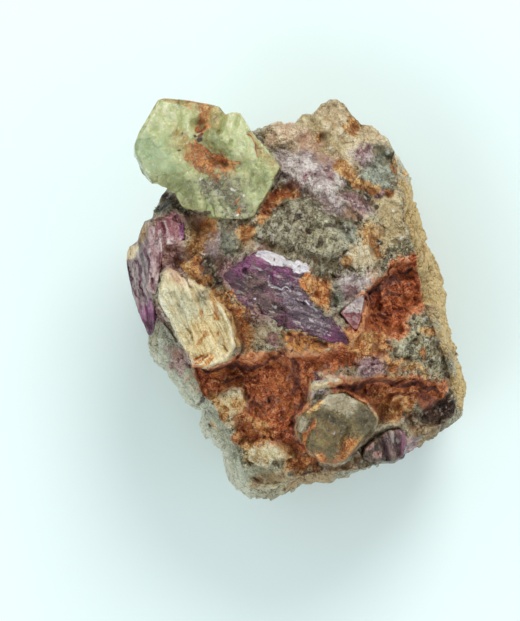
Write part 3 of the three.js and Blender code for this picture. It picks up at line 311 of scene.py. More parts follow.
# Where each mineral shows on the rock
ROCK_PATCHES = {
    "beige_albite": [
        area(1.6, (-3, 15.2), (-1, 15), (0.6, 14.6), (2.2, 13), (4.4, 12.8), (5, 14.4), (7, 14.3),
             (8.6, 13), (9.8, 11), (10, 14), (8, 17), (4, 19.5), (-4, 17.5)),
        area(1.4, (-2.4, 14.6), (0.4, 13.2), (2, 12.4), (3.6, 11.4), (5.8, 11.4), (6.6, 13), (8.8, 13.8),
             (4, 19), (-3, 16)),
        area(1.2, (4, 4), (5.4, 2.8), (7.6, 3), (7, 4.6), (4.8, 5.6)),
        area(1.4, (6.8, 9.4), (7.2, 6.8), (8.6, 6.2), (10, 6.4), (9.9, 10.5), (8.6, 10.2)),
        area(0.9, (-4.8, 5.8), (-3.8, 5.6), (-2.8, 4.8), (-3.6, 4.1), (-4.8, 4.2)),
        area(1.2, (-5.4, -2.6), (-4.2, -2.2), (-1.8, -2.6), (-1.2, -3.6), (-2.6, -4.2), (-5, -4.4))],
    "khaki_albite": [
        area(1.4, (1.8, 14.6), (3, 12.9), (4.4, 12.9), (4.6, 14.2), (2.8, 15.4)),
        area(1.2, (0, 15.6), (0.6, 17.4), (2.4, 16.8), (2.4, 14.6), (0.8, 14.6)),
        area(1.2, (7, 9.4), (9.6, 9.4), (9.8, 5.2), (7.2, 4.6)),
        area(1, (-4.6, -15.7), (-1, -15.6), (0.4, -16.6), (-1.6, -17.6), (-4.8, -17.4))],
    "peach_albite": [
        area(1, (-2.8, 15.9), (-2.4, 14.6), (-0.4, 14.4), (0.6, 13.4), (2.2, 13.2), (2.3, 14.4),
             (0.8, 15.4), (-0.6, 16)),
        area(1, (1.6, 13.4), (3.8, 13), (4.6, 12), (3.4, 11.8), (2, 12.6)),
        spot(0.7, (2.7, 12.5), (3.4, 12.3), (5.2, 8.3), (5.8, 7.8), (5, 8)),
        vein(0.35, (4.6, 8.7), (5.4, 8), (6.3, 7.3)),
        area(0.8, (5.9, 1.2), (6.6, 1), (7.9, 2.4), (6.8, 2.7), (5.8, 2.3)),
        area(1, (-9.9, 7.9), (-8.4, 7.9), (-7.2, 7), (-7.2, 5.6), (-8.4, 4.8), (-9.8, 5.4)),
        area(0.8, (-11.8, 3.2), (-10.4, 2.6), (-9.8, 1.4), (-11.2, 1.9)),
        vein(0.3, (-9.5, -6.4), (-9, -7.4), (-8.4, -8.6), (-7.6, -9)),
        area(0.9, (1, -6.2), (2.4, -6.1), (4.6, -6.4), (4.9, -7.3), (3.4, -7.9), (1.3, -7.6)),
        spot(0.5, (7.6, -4.8), (8, -5.2), (5.2, -4))],
    "mauve_mica": [
        area(1.4, (-1.9, 12.4), (-0.8, 11.2), (-0.6, 10.4), (0.8, 9.8), (2.2, 9), (2.8, 7.8), (4.8, 7.4),
             (5, 9), (4, 9.6), (4.6, 11), (3.9, 12.4), (2.2, 13), (0.6, 13.8), (-1.6, 13.6)),
        area(1, (3.4, 0.2), (4.2, -0.4), (6, 0.5), (7.2, 1.6), (6, 2.4), (3.8, 2.3)),
        area(1.2, (5, 13.6), (5.2, 12.6), (6, 12), (7.4, 12.6), (7.2, 14)),
        area(1, (-7.6, 6), (-6.8, 6.2), (-6.6, 4.4), (-6.9, 3.4), (-8.6, 4.4), (-8.6, 5.4)),
        area(0.9, (-9.4, 3.8), (-8.2, 3.7), (-8.1, 2.6), (-9.3, 2.6)),
        area(0.8, (-11.2, -6.3), (-9.8, -6.5), (-9, -8), (-10.6, -7.9)),
        area(0.7, (1, -8), (2.2, -8), (3, -8.3), (1.6, -9), (0.9, -8.8)),
        area(0.8, (9.6, -12.6), (11.2, -12.4), (11.2, -13.6), (9.8, -13.6))],
    "brown_crust": [
        vein(0.1, (11.55, 2), (11.9, -0.6), (12.9, -2.4)),
        area(1.2, (-13.9, 6.9), (-12.8, 7.2), (-12.9, 5.2), (-14.2, 5.2)),
        area(1, (10.2, -11.2), (13.6, -11.2), (14.4, -12.2), (11.2, -12.9), (9.8, -12.4)),
        spot(0.5, (-3.4, -17), (-1.2, -16.2)),
        area(0.9, (11, -2.2), (12.6, -2.4), (13, -5.4), (12, -5.2), (12.2, -3.4)),
        area(1, (-0.8, -15.2), (2.4, -14.8), (6, -14.6), (6, -16.4), (0, -17.4))],
    "grey_albite": [
        area(0.9, (-9.6, -6.4), (-8.5, -8.9), (-7.6, -9.4), (-6.6, -10.8), (-5.8, -12.6), (-5.1, -13.4),
             (-4.4, -15.2), (-2.8, -15.4), (-2.2, -15.9), (-4.6, -16.4), (-4.6, -18.9), (-8, -17),
             (-12, -9), (-14.6, -5), (-12.4, -5.2)),
        area(1.2, (-12.9, -4.3), (-11.4, -4.4), (-11.2, -6.2), (-13.4, -6))],
    "green_mica": [
        area(1, (9.8, -0.8), (11.4, -0.6), (12.4, -2.6), (12.6, -4.4), (13.9, -6.4), (13, -6.9),
             (11.6, -5.6), (9.4, -5.3), (8, -5), (7.9, -3.3), (8.6, -3), (9.6, -3.6), (9.9, -2.4)),
        area(0.9, (-13.2, -2.4), (-11.4, -2.4), (-11, -4.2), (-12.4, -4.6), (-14.2, -4.4)),
        spot(0.6, (10.4, 1.9), (9.8, 4.4)),
        area(1, (9, 4), (10.8, 3.9), (10.6, 5.4), (9.4, 5.6), (9, 4.8)),
        area(1.2, (1, 7.4), (3.4, 7.4), (3.5, 4.6), (1.2, 4.4)),
        area(0.8, (-5, -2.2), (-3.8, -2), (-3.6, -3.2), (-4.8, -3.4)),
        vein(0.25, (-0.9, -5), (0.6, -5.1), (1.9, -4.9), (3.3, -4.3))],
    "blue_grey_quartz": [
        area(1.2, (5.8, 12.2), (6, 10.8), (7.2, 10.2), (8.8, 9.9), (9, 12), (8.8, 14.2), (7.6, 14),
             (7.4, 12.7)),
        area(0.9, (3.9, 7), (4.2, 5.4), (5.2, 5), (5.4, 6.2), (5, 7.2)),
        area(0.7, (3, 1.1), (3.9, 1.4), (4.2, 0), (3.8, -0.9), (3.1, -0.3))],
    "teal_mica": [area(0.5, (-6.7, 6.6), (-6.7, 4.4), (-6.2, 3.8), (-5.3, 4.2), (-5, 5.6), (-5.3, 6.6))],
    "cream_albite": [
        area(0.9, (-7.4, -8.8), (-7, -9.8), (-6.2, -11), (-5.5, -12.2), (-4.9, -11.8), (-5.4, -10.4),
             (-4.5, -9.6), (-4.4, -8.2), (-5.2, -7.4), (-6, -8.4)),
        area(0.9, (-5, -13.2), (-3.6, -12.9), (-2.8, -12.3), (-1.6, -12.5), (0, -13.4), (0, -14.2),
             (-1.8, -14.5), (-2.6, -15.3), (-4.6, -14.9)),
        vein(0.35, (0.8, -7.2), (1.4, -8), (2.6, -7.6), (3.8, -7.4)),
        area(0.8, (-8.4, 0.8), (-7.6, 0.9), (-6, -1.6), (-5.6, -3.4), (-6.2, -4.6), (-7.6, -1.6)),
        spot(0.4, (-2.4, -8), (-1.9, -8.4), (-2.6, -7.7), (0.2, -6.2), (-3.4, -5.5), (-1.4, -5.8))],
    "white_quartz": [
        spot(0.13, (-8.4, 4.3), (-8.2, 3.5), (9.5, 5.9), (8.9, 8.1), (4.3, 4.2), (-3.6, -0.2), (-1.2, -5),
             (2.7, 3.8), (0.6, 6.4), (1.6, 7.4), (-1.4, 6.2), (2.2, 9.9), (1.2, 10.8), (6.1, 13.9),
             (3.2, 13.8), (-0.2, 14.4)),
        vein(0.1, (1.4, -7.5), (2.6, -7.3), (3.8, -7.1))],
    "purple_grains": [
        area(0.7, (5.6, 12.7), (6.2, 12.5), (7, 13.2), (6.9, 14.1), (5.8, 13.9)),
        area(0.8, (3.9, 9), (4.9, 8.6), (6.2, 7.4), (7, 7.7), (6.8, 8.8), (5.4, 10), (4.4, 9.9)),
        spot(0.5, (3, 11.7), (3.4, 11.4), (-0.1, 10.1), (-0.5, 10.3), (7.6, 9.5), (1, 11)),
        area(0.7, (5.3, -6.9), (5.4, -6), (6.2, -5.1), (7.6, -5), (8.1, -5.6), (8, -6.9), (6.2, -7.3)),
        area(0.6, (4.3, 1.3), (4.6, 0.4), (5.6, 0.4), (5.4, 1.2)),
        area(1, (-7.2, 3.6), (-7, 1.8), (-5.6, 0.6), (-4.6, 4), (-6.2, 3.6)),
        # Painted shade: dark purple on the rock in the shadow beside the left prism's lower end
        area(0.5, (-13.6, -0.8), (-12.4, -0.6), (-11.5, -2.3), (-12.8, -2.5), (-13.4, -3.4)),
        area(0.8, (-4.2, 4.8), (-3, 5), (-2.2, 4.4), (-3.4, 4.2)),
        spot(0.6, (9.8, -13.8), (10.6, -13.2), (1.8, -6.8), (1.5, -6.5))],
    "maroon_grains": [
        area(1, (-12.8, 7.6), (-12.9, 4.8), (-12.7, 2.4), (-11.4, 2.6), (-9.9, 2.2), (-9.6, 3.6),
             (-9.9, 5.2), (-9.9, 8), (-11.4, 8.3)),
        area(0.8, (-9.6, 2.6), (-8.2, 2.4), (-8, 1.2), (-9.2, 1.2)),
        area(0.6, (-11.9, -4.6), (-10, -4.4), (-9.5, -6.2), (-10.4, -6.9), (-11.6, -6.2)),
        area(0.8, (-4.4, -0.4), (-2.6, -0.6), (-2.2, -2), (-3.8, -2), (-5, -1.2)),
        spot(0.6, (-0.3, 10.2), (-5.6, -1.4), (-2.2, -3.6)),
        spot(0.9, (-10.6, -5.4))],
    "smoky_quartz": [
        area(0.9, (9.9, -10.8), (12, -10), (13, -8.6), (14.3, -7.9), (14.8, -9.6), (15.4, -10.9),
             (13, -11.4), (11.2, -11.2), (9.7, -11.4))],
    "dark_mica": [
        spot(0.28, (7.6, 5.3), (8.3, 4.7), (8.8, 4.1), (-1.2, 8.2), (-0.7, 7.8), (2.9, 6.5), (3.3, 6.7),
             (-7.6, 2.8), (-8.1, 2.4), (-6.9, 1.7), (8.3, -3.8), (9, -4.6), (3.3, -0.9), (1.2, 5.9),
             (10.9, -1.5), (-0.4, -15.8), (1.8, -15.1), (-2.4, 7), (0.2, 7.2), (2, 5.2), (-3, 5.6),
             (4.4, 6.2), (6.4, 9.2), (7.2, 8.4), (-5.4, 1.6)),
        vein(0.1, (-2.2, 10), (-1.4, 11.2), (-1.1, 11.6)),
        vein(0.14, (-8.5, -9), (-8.8, -9.9), (-9.6, -10)),
        vein(0.14, (-8.1, -10.3), (-8.6, -11.2)),
        area(0.5, (-6.5, 6.9), (-6.2, 6.2), (-5.4, 6.1), (-5, 6.8), (-5.2, 7.2)),
        area(0.6, (-8.3, 4.1), (-7.6, 3.8), (-6.9, 2), (-7.6, 1.9), (-8, 2.8)),
        # Painted shadow on the rock under the rhodizite's lower left edge
        area(0.5, (-13.1, 10.4), (-12.4, 9.4), (-12.6, 8.2), (-10, 8.1), (-10.6, 9.4))],
    "limonite": [
        vein(0.55, (4.2, 12.2), (5, 11.5), (5.8, 10.7), (7, 10)),
        area(0.9, (5.5, 5.8), (6.6, 7), (7.4, 6.2), (8, 4.2), (7.4, 3.8), (6.4, 5)),
        vein(0.45, (5.2, 16.6), (5.3, 15.4), (4.8, 15.8)),
        spot(0.35, (2.2, 14.8), (9, 12), (9.2, 13)),
        area(1, (-9.9, 6.2), (-8.6, 6.6), (-7.8, 7.2), (-7.5, 5.6), (-8.6, 4.6), (-9.9, 4.2)),
        vein(0.4, (-9.9, 3.2), (-9.4, 2), (-8.8, 1.2), (-7.9, 1.9)),
        area(1, (6, -3), (7.6, -3), (7.8, -4.8), (6.4, -4.9)),
        area(0.9, (7.4, -9.8), (9, -9.4), (9.8, -9.9), (8.6, -10.9), (7.8, -10.8)),
        vein(0.5, (-7.4, 0.4), (-6.6, -0.6), (-5.8, -1.8), (-5.2, -3.4)),
        area(1, (9.8, -5.6), (11.6, -5.8), (12.6, -6.9), (9.6, -6.7)),
        area(0.9, (-5.4, 6.4), (-4.4, 6.8), (-4, 5.6), (-5, 5.2)),
        vein(0.5, (-7.6, -8.9), (-7, -9.6), (-6.4, -10.4)),
        spot(0.6, (-5, -9.4), (-4.6, -13.2), (-0.7, -13.6), (12, -2.9), (4.6, 3.4))],
    "ochre_stain": [
        area(0.6, (-1.3, -2.8), (1, -3.1), (3.8, -4.1), (2.2, -4.7), (-0.8, -4.6)),
        area(0.9, (-9.6, 4.8), (-8.4, 4.4), (-8.2, 1.2), (-9.4, 1.4)),
        vein(0.5, (-6, -1), (-5, -2.2), (-4.4, -3.6)),
        spot(0.5, (8.4, 9.8), (6.4, 5.2), (11.6, -4.8))],
    "rust": [
        area(0.5, (-3.6, 7.2), (-2.3, 9.8), (-1.1, 10.2), (-0.2, 10), (0.1, 9.5), (-0.7, 9.2), (-1.9, 8.5),
             (-2.6, 7.5)),
        area(0.8, (1.4, 1.9), (2.6, 2), (3.2, 1.2), (3, -0.2), (2.6, -1), (1.7, -0.6), (1.5, 0.6)),
        spot(0.8, (1, 1.6), (0.8, 1.2), (-4.6, 6), (-8, 6.6)),
        area(1, (-6.6, 0.8), (-5.6, -0.2), (-4.8, -1), (-4, -2.2), (-4, -3.6), (-4.4, -4.6), (-5.2, -3.6),
             (-5.6, -2)),
        area(1, (4.8, -3.2), (6, -2.8), (8, -3), (8.2, -5.2), (6, -5.2), (4.6, -4.6)),
        area(0.8, (-9.4, 3), (-8.4, 2.6), (-8, 1.4), (-9.4, 1.6)),
        area(0.9, (8.2, -5.4), (9.6, -5.4), (9.4, -6.9), (8.2, -6.8)),
        area(1, (7, -8.6), (9.6, -8.5), (12.2, -8.9), (10.6, -10), (8.8, -11.2), (7.2, -10.6)),
        area(1, (-5.4, -10.2), (-3.4, -10.8), (-2, -12.2), (-3.6, -13), (-5.2, -12.9)),
        area(1, (-7.4, -6.4), (-4.4, -6.3), (-4.4, -7.4), (-6.6, -8.2)),
        area(0.8, (-1, -14.2), (1.6, -14), (1.8, -15.6), (-0.6, -15.5)),
        spot(0.7, (3.2, -12.6), (-5.4, -12.6))],
    "hematite": [
        area(0.8, (4.6, -2.6), (6.2, -2.2), (8.2, -2.6), (8.2, -4.2), (6, -5), (4, -4.2)),
        area(0.6, (6.1, 0.4), (7, 1.3), (7.9, 1.9), (8.5, 2.5), (9, 3.2), (9.7, 3.8), (11, 3.9),
             (11.2, 1.6), (11.6, -0.3), (11.6, -0.9), (10.1, -0.8), (9.8, -1.6), (9.9, -3.2), (8.6, -3.1),
             (7.4, -2.8), (6, -2.9), (5.8, -1.4)),
        area(0.8, (-9.2, -5.6), (-7.8, -6.2), (-6.2, -5.8), (-5, -5), (-3, -5.2), (-1.6, -4.6), (0.4, -5),
             (2.6, -4.8), (4.2, -4.2), (5.6, -4.6), (5.4, -5.6), (3.6, -5.9), (1.6, -6.1), (0.9, -7.2),
             (0.9, -9.2), (-0.1, -10.6), (-0.2, -12.4), (0.4, -14.4), (-0.4, -13.4), (-1.4, -12.8),
             (-2.6, -12.2), (-3.8, -12.8), (-5.2, -13), (-5.3, -10.6), (-4.2, -9.4), (-4.5, -8),
             (-5.6, -7.3), (-7, -8.4), (-8.4, -8.6), (-9.4, -6.8)),
        area(0.6, (3.4, -7.7), (5.2, -7.4), (8, -7.1), (11, -7.2), (13.9, -7.5), (13.4, -8.4), (12.2, -9.2),
             (10, -9.4), (7.6, -9.4), (7.2, -10), (6.2, -9), (4.2, -8.3)),
        vein(0.4, (1.6, -11), (0.8, -12.4), (0.5, -13.6))],
    # Mostly painted shadow under the blade's lower edge, under the ledge and along the upper edges of the
    # hollows, with some dark stain
    "dark_hematite": [
        vein(0.2, (-8.3, -6.3), (-7.6, -6.45), (-6.2, -6.1), (-4.2, -6.2), (-2.8, -5.9), (-1.6, -5)),
        vein(0.36, (5.9, -0.9), (6.2, -0.1), (7, 0.8), (8.1, 1.5), (9.1, 1.9)),
        vein(0.16, (9.4, 2.6), (10.6, 2.9)),
        vein(0.14, (-6.4, -7.4), (-5, -7), (-3.6, -7.2)),
        area(0.8, (-4.6, -8.7), (-3.4, -9.2), (-2, -8.8), (-2.2, -9.8), (-4.2, -9.9)),
        vein(0.3, (-0.2, -5.5), (0, -6.8), (-0.2, -8.4)),
        vein(0.24, (3.6, -7.9), (5.2, -7.75), (7, -7.5), (8.6, -7.4), (10.6, -7.7), (12.8, -7.9)),
        vein(0.16, (0.4, -9.2), (-0.1, -10.4), (-0.2, -12.2)),
        vein(0.14, (-0.8, -3.9), (-0.2, -3.6), (0.5, -3.3)),
        vein(0.16, (7.8, 0.2), (8.6, 0.8), (9.6, 0.4)),
        vein(0.14, (7.2, -1.4), (8.2, -1.7)),
        spot(0.9, (11.9, -9.2)),
        vein(0.14, (9, -8.5), (10.8, -8.8))],
    "tan_crust": [
        area(0.7, (9.7, 10.8), (10, 8.6), (10.4, 6.6), (10.9, 4.6), (11.3, 3), (11.6, 1.2), (11.9, -0.9),
             (12.7, -2.4), (13.5, -4.4), (14.2, -6.4), (14.5, -8), (15, -10.2), (17, -11), (18, 0),
             (12, 12), (9.8, 14.6))],
}


# Patterns and heights, all on whole arrays

# Large odd numbers that mix a cell's three counts and a salt into one 32-bit word, which is then folded
COUNT_MIXERS = (374761393, 668265263, 1274126177)
SALT_MIXER = 974711
FOLDS = ((15, 2246822519), (13, 3266489917))
LAST_FOLD = 16
WORD = 2 ** 32


def cell_number(cells, salt):
    """A steady number from 0 to 1 for each lattice cell: its three counts and a salt, multiplied and mixed
    as 32-bit whole numbers."""
    word = np.uint32(salt * SALT_MIXER % WORD)
    for counts, mixer in zip(cells, COUNT_MIXERS):
        word = word ^ np.asarray(counts, np.int64).astype(np.uint32) * np.uint32(mixer)
    for fold, mixer in FOLDS:
        word = (word ^ (word >> np.uint32(fold))) * np.uint32(mixer)
    return (word ^ (word >> np.uint32(LAST_FOLD))).astype(float) / WORD


def grain_relief(places, size, salt, sharpness):
    """Broken-grain relief, about -1 to 1. Each cell of a lattice holds one jittered point that owns a
    tilted plane. A place takes the planes round it, weighted by exp(-sharpness x distance squared), so the
    nearest one wins and its neighbours melt into it."""
    p = places / size
    base = np.floor(p).astype(np.int64)
    total, weight = np.zeros(len(p)), np.zeros(len(p))
    for step in np.ndindex(3, 3, 3):
        cell = base + np.array(step) - 1
        *six, level = (cell_number(cell.T, salt + n) for n in range(7))
        away = p - cell - np.stack(six[:3], 1)
        near = np.exp(-sharpness * (away ** 2).sum(1))
        tilt = ((np.stack(six[3:], 1) - 0.5) * away).sum(1)
        total += near * (2 * tilt + 2 * (level - 0.5))
        weight += near
    return total / weight


def soft_noise(places, size, salt):
    """Cloudy noise, -1 to 1: random numbers on a lattice, blended by smooth steps along each axis."""
    p = places / size
    base = np.floor(p).astype(np.int64)
    t = p - base
    t = t * t * (3 - 2 * t)
    total = np.zeros(len(p))
    for step in np.ndindex(2, 2, 2):
        share = np.prod(np.where(np.array(step) == 1, t, 1 - t), axis=1)
        total += share * cell_number((base + np.array(step)).T, salt)
    return 2 * total - 1


def smooth(x):
    """A smooth step from 0 to 1: 3x squared less 2x cubed, clipped."""
    x = np.clip(x, 0, 1)
    return x * x * (3 - 2 * x)


def distance_to_line(places, line, closed=False):
    """Distance in plan from each place to a line of straight stretches: the least distance to a stretch."""
    ends = np.array(line, float)
    starts = np.roll(ends, 1, axis=0) if closed else ends[:-1]
    ends = ends if closed else ends[1:]
    nearest = np.full(len(places), np.inf)
    for a, b in zip(starts, ends):
        along = np.clip(((places - a) @ (b - a)) / max(((b - a) ** 2).sum(), LEAST), 0, 1)
        nearest = np.minimum(nearest, np.hypot(*(places - a - along[:, None] * (b - a)).T))
    return nearest


def distance_inside(places, corners):
    """Distance inside a polygon's edge in plan, less than zero outside it. A place is inside where a ray
    from it crosses the edge an odd number of times."""
    x, y = places.T
    inside = np.zeros(len(places), bool)
    for (ax, ay), (bx, by) in zip(corners, corners[1:] + corners[:1]):
        if ay != by:
            inside ^= ((ay > y) != (by > y)) & (x < (bx - ax) * (y - ay) / (by - ay) + ax)
    return np.where(inside, 1, -1) * distance_to_line(places, corners, closed=True)


def wandered(places, salt=71, reach=EDGE_WANDER):
    """Places moved a little in plan by cloudy noise at two scales, so what is drawn from them wanders."""
    flat = np.column_stack([places, np.zeros(len(places))])
    shift = [sum(share * soft_noise(flat, size, salt + step + n) for size, share, step in WANDER_SCALES)
             for n in range(2)]
    return places + reach * np.stack(shift, 1)


def face_height(places):
    """Height of the broken face: the spot heights blended by a bell of their distance, then each slab and
    hollow added inside its edge by a smooth step."""
    spots = np.array(FACE_HEIGHTS)
    square = ((places[:, None, :] - spots[None, :, :2]) ** 2).sum(2)
    near = np.exp(-square / (2 * HEIGHT_SPREAD ** 2)) + LEAST
    height = (near @ spots[:, 2]) / near.sum(1)
    broken = wandered(places)
    for rise, edge, corners in SLABS_AND_HOLLOWS.values():
        height += rise * smooth(distance_inside(broken, corners) / edge + 0.5)
    return height


def at_bearing(line, wanted, middle):
    """The places on a closed line that lie at given bearings from a middle, straight between its points."""
    line = np.array(line, float)
    turns = np.arctan2(line[:, 1] - middle[1], line[:, 0] - middle[0]) % TURN
    order = np.argsort(turns)
    return np.stack([np.interp(wanted % TURN, turns[order], line[order, c], period=TURN)
                     for c in range(line.shape[1])], 1)


def square_sheet(cells):
    """A square sheet of points from -1 to 1: how far out each one's square is, its bearing, its quads and
    the sheet's border. Each side of every square spans a quarter turn evenly, so that the squares can become
    rings."""
    steps = np.linspace(-1, 1, cells + 1)
    a, b = (v.ravel() for v in np.meshgrid(steps, steps))
    ring = np.maximum(abs(a), abs(b))
    with np.errstate(divide="ignore", invalid="ignore"):
        by_side = np.where(a > 0, 0, TURN / 2) + (TURN / 8) * b / a
        by_top = np.where(b > 0, TURN / 4, 3 * TURN / 4) - (TURN / 8) * a / b
    bearing = np.nan_to_num(np.where(abs(a) >= abs(b), by_side, by_top))
    n = cells + 1
    grid = np.arange(n * n).reshape(n, n)
    quads = np.stack([grid[:-1, :-1], grid[:-1, 1:], grid[1:, 1:], grid[1:, :-1]], -1).reshape(-1, 4)
    border = np.concatenate([grid[:-1, -1], grid[-1, 1:][::-1], grid[1:, 0][::-1], grid[0, :-1]])
    return ring, bearing, quads, border


def closed_surface(sheet_points, quads, border, rings, pole):
    """A sheet closed by rings of points that start at its border and end at one pole. Returns points, quads
    and triangles."""
    points = [sheet_points]
    count = len(sheet_points)
    edge = border
    for ring in rings:
        following = np.arange(count, count + len(ring))
        points.append(ring)
        quads = np.concatenate([quads, np.stack(
            [edge, following, np.roll(following, -1), np.roll(edge, -1)], 1)])
        edge = following
        count += len(ring)
    points.append(np.array([pole], float))
    fan = np.stack([edge, np.full(len(edge), count), np.roll(edge, -1)], 1)
    return np.concatenate(points), quads, fan


def new_piece(name, points, quads, fan, marks):
    """A mesh object from points in millimetres on the tables' own middle, with float marks on its points.
    They are moved so that the upper left of the tables' rhodizite meets that of the frame's."""
    mesh = bpy.data.meshes.new(name)
    low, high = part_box("rhodizite_crystal")
    outline = np.array(RHODIZITE["outline"])
    shift = np.array([low.x / MM - outline[:, 0].min(), high.y / MM - outline[:, 1].max(), 0])
    faces = np.concatenate([quads.ravel(), fan.ravel()])
    starts = np.concatenate([np.arange(len(quads)) * 4, len(quads) * 4 + np.arange(len(fan)) * 3])
    mesh.vertices.add(len(points))
    mesh.vertices.foreach_set("co", ((points + shift) * MM).astype(np.float32).ravel())
    mesh.loops.add(len(faces))
    mesh.loops.foreach_set("vertex_index", faces.astype(np.int32))
    mesh.polygons.add(len(starts))
    mesh.polygons.foreach_set("loop_start", starts.astype(np.int32))
    mesh.polygons.foreach_set("use_smooth", np.ones(len(starts), bool))
    mesh.update(calc_edges=True)
    for mark, values in marks.items():
        attribute = mesh.attributes.new(mark, "FLOAT", "POINT")
        attribute.data.foreach_set("value", values.astype(np.float32))
    if mesh.validate():
        raise RuntimeError(name + " has faulty faces")
    piece = bpy.data.objects.new(name, mesh)
    bpy.context.scene.collection.objects.link(piece)
    return piece


# The rock

def roughened(places, lean, share, dent_share, fine):
    """Points moved by the broken grains, along a way that turns from up at lean 0 to outwards at a quarter
    turn. The two fine sizes have a share of their own. Flank dents move a point inwards only."""
    out = np.maximum(np.hypot(places[:, 0], places[:, 1]), LEAST)
    lean = np.broadcast_to(lean, out.shape)
    way = np.stack([places[:, 0] / out * np.sin(lean), places[:, 1] / out * np.sin(lean), np.cos(lean)], 1)
    lift = np.zeros(len(places))
    for number, (size, relief, salt, sharp) in enumerate(GRAINS):
        part = share if number < COARSE_SIZES else fine
        lift += part * relief * grain_relief(places, size, salt, sharp)
    size, relief, salt, sharp = FLANK_DENTS
    dent = relief * (grain_relief(places, size, salt, sharp) - 1)
    return places + (lift + dent_share * dent)[:, None] * way


def mineral_weights(places, patches):
    """For each mineral, a weight from 0 to 1 at each place in plan: the most of its areas, veins and spots,
    each a smooth step over its soft edge."""
    broken = wandered(places, salt=91, reach=0.3)
    weights = {}
    for mineral, parts in patches.items():
        weight = np.zeros(len(places))
        spread = SPREAD.get(mineral, 0)
        for kind, size, line in parts:
            if kind == "area":
                here = smooth((distance_inside(broken, line) + spread) / (SOFTNESS * size) + 0.5)
            elif kind == "vein":
                here = smooth(VEIN_FADE - distance_to_line(broken, line) / size)
            else:
                gap = np.min([np.hypot(*(broken - place).T) for place in line], axis=0)
                here = smooth(VEIN_FADE - gap / size)
            weight = np.maximum(weight, here)
        weights[mineral] = weight
    return weights


def hollowness(height, closed=False):
    """How far each point of a grid lies below the mean of the points round it, near and wider: positive in
    a pit and negative on a ridge. The mean is a box blur, run three times."""
    result = np.zeros_like(height)
    for reach, share in SURROUNDINGS:
        width = 2 * reach + 1
        blurred = height
        for _ in range(3):
            for axis in (0, 1):
                edges = [(reach + 1, reach) if a == axis else (0, 0) for a in (0, 1)]
                total = np.pad(blurred, edges, "wrap" if closed and axis else "edge").cumsum(axis)
                late = np.take(total, range(width, total.shape[axis]), axis)
                blurred = (late - np.take(total, range(total.shape[axis] - width), axis)) / width
        result += share * (blurred - height)
    return result


def down_the_flank(places):
    """Where the mineral of each flank place is read off in plan: beside it, by a cloudy drift that grows
    with its depth under the rim, so that no mineral runs straight down."""
    drift = np.stack([soft_noise(places, FLANK_DRIFT_SIZE, salt) for salt in (71, 72)], 1)
    depth = np.clip((RIM_LEVEL - places[:, 2]) / FLANK_DRIFT_DEPTH, 0, 1)
    return places[:, :2] + FLANK_DRIFT * depth[:, None] * drift


def rock_surface(cells, upper_rings, lower_rings):
    """The rock's points, faces and marks. The face is the sheet drawn out to the rim at the face's height.
    The upper rings run straight from the rim to the waist, with dents that are deepest halfway. The lower
    ones curve in to the foot, and the last ones close the flat base."""
    ring, bearing, quads, border = square_sheet(cells)
    rim_here = at_bearing(RIM, bearing, FACE_MIDDLE)
    plan = FACE_MIDDLE + ring[:, None] * (rim_here - FACE_MIDDLE)
    weights = mineral_weights(plan, ROCK_PATCHES)
    calm = sum(share * weights[mineral] for mineral, share in CALM.items())
    height, near_crystal = seated(plan, face_height(plan))
    flat = np.column_stack([plan, height])
    on_rim = ring > 1 - LEAST
    share = np.where(on_rim, RIM_ROUGHNESS, 1 - BESIDE_CRYSTAL * near_crystal)
    fine = np.where(on_rim, FLANK_FINE, np.clip(1 - calm, LEAST_FINE, 1))
    face = roughened(flat, np.where(on_rim, RIM_LEAN, 0), share, 0.0, fine)

    turns = bearing[border]
    rim = flat[border]
    waist = at_bearing(WAIST, turns, FACE_MIDDLE)
    middle = np.append(FACE_MIDDLE, 0)
    rings, painted = [], []
    for step in range(1, upper_rings + 1):
        share = step / upper_rings
        place = rim + share * (waist - rim)
        rough = FLANK_ROUGHNESS - WAIST_LOSS * share
        rings.append(roughened(place, TURN / 4, rough, 4 * share * (1 - share), FLANK_FINE))
        painted.append(down_the_flank(place))
    for step in range(1, lower_rings + 1):
        share = step / lower_rings
        place = middle + (1 - (1 - FOOT_SHARE) * share ** FOOT_CURVE) * (waist - middle)
        place[:, 2] = waist[:, 2] + share * (FOOT_HEIGHT - waist[:, 2])
        rough = (FLANK_ROUGHNESS - WAIST_LOSS) * (1 - share)
        rings.append(roughened(place, TURN / 4, rough, 2 * share * (1 - share), FLANK_FINE))
        painted.append(down_the_flank(place))
    outwards = np.stack([np.hypot(*(r[:, :2] - FACE_MIDDLE).T) for r in rings])
    for step in range(BASE_RINGS):
        place = middle + FOOT_SHARE * BASE_SHARE * (1 - step / BASE_RINGS) * (waist - middle)
        place[:, 2] = 0
        rings.append(place)
        painted.append(waist[:, :2])
    points, quads, fan = closed_surface(face, quads, border, rings, middle)

    marks = mineral_weights(np.concatenate([plan] + painted + [FACE_MIDDLE[None]]), ROCK_PATCHES)
    for mineral, strength in SEAMS.items():
        marks[mineral][:len(plan)] = np.maximum(marks[mineral][:len(plan)], strength * near_crystal)
    # The pits' depth, which the material turns into painted shade in the pits and painted light on the
    # ridges
    cavity = np.zeros(len(points))
    cavity[:len(face)] = hollowness(face[:, 2].reshape(cells + 1, cells + 1)).ravel()
    pits = hollowness(outwards, closed=True).ravel()
    cavity[len(face):len(face) + len(pits)] = pits
    marks["cavity"] = np.clip(cavity, *PITS)
    return points, quads, fan, marks


# The crystals

# Each has a plan outline, and above the height "girdle" its sides lean inwards by the angle "lean" up to its
# top faces: a place, its height there and its slopes across and up. Below, its flanks taper by the share
# "taper" as they go down to the height "under". Its edges are rounded by "round", and its outline is broken
# by the share "ragged". A groove is its half width, its depth and its line. The rock rises to meet a
# crystal's top by the share "meet" over the width "bank", and laps over its edge by the width "lap"
RAGGED = 0.02
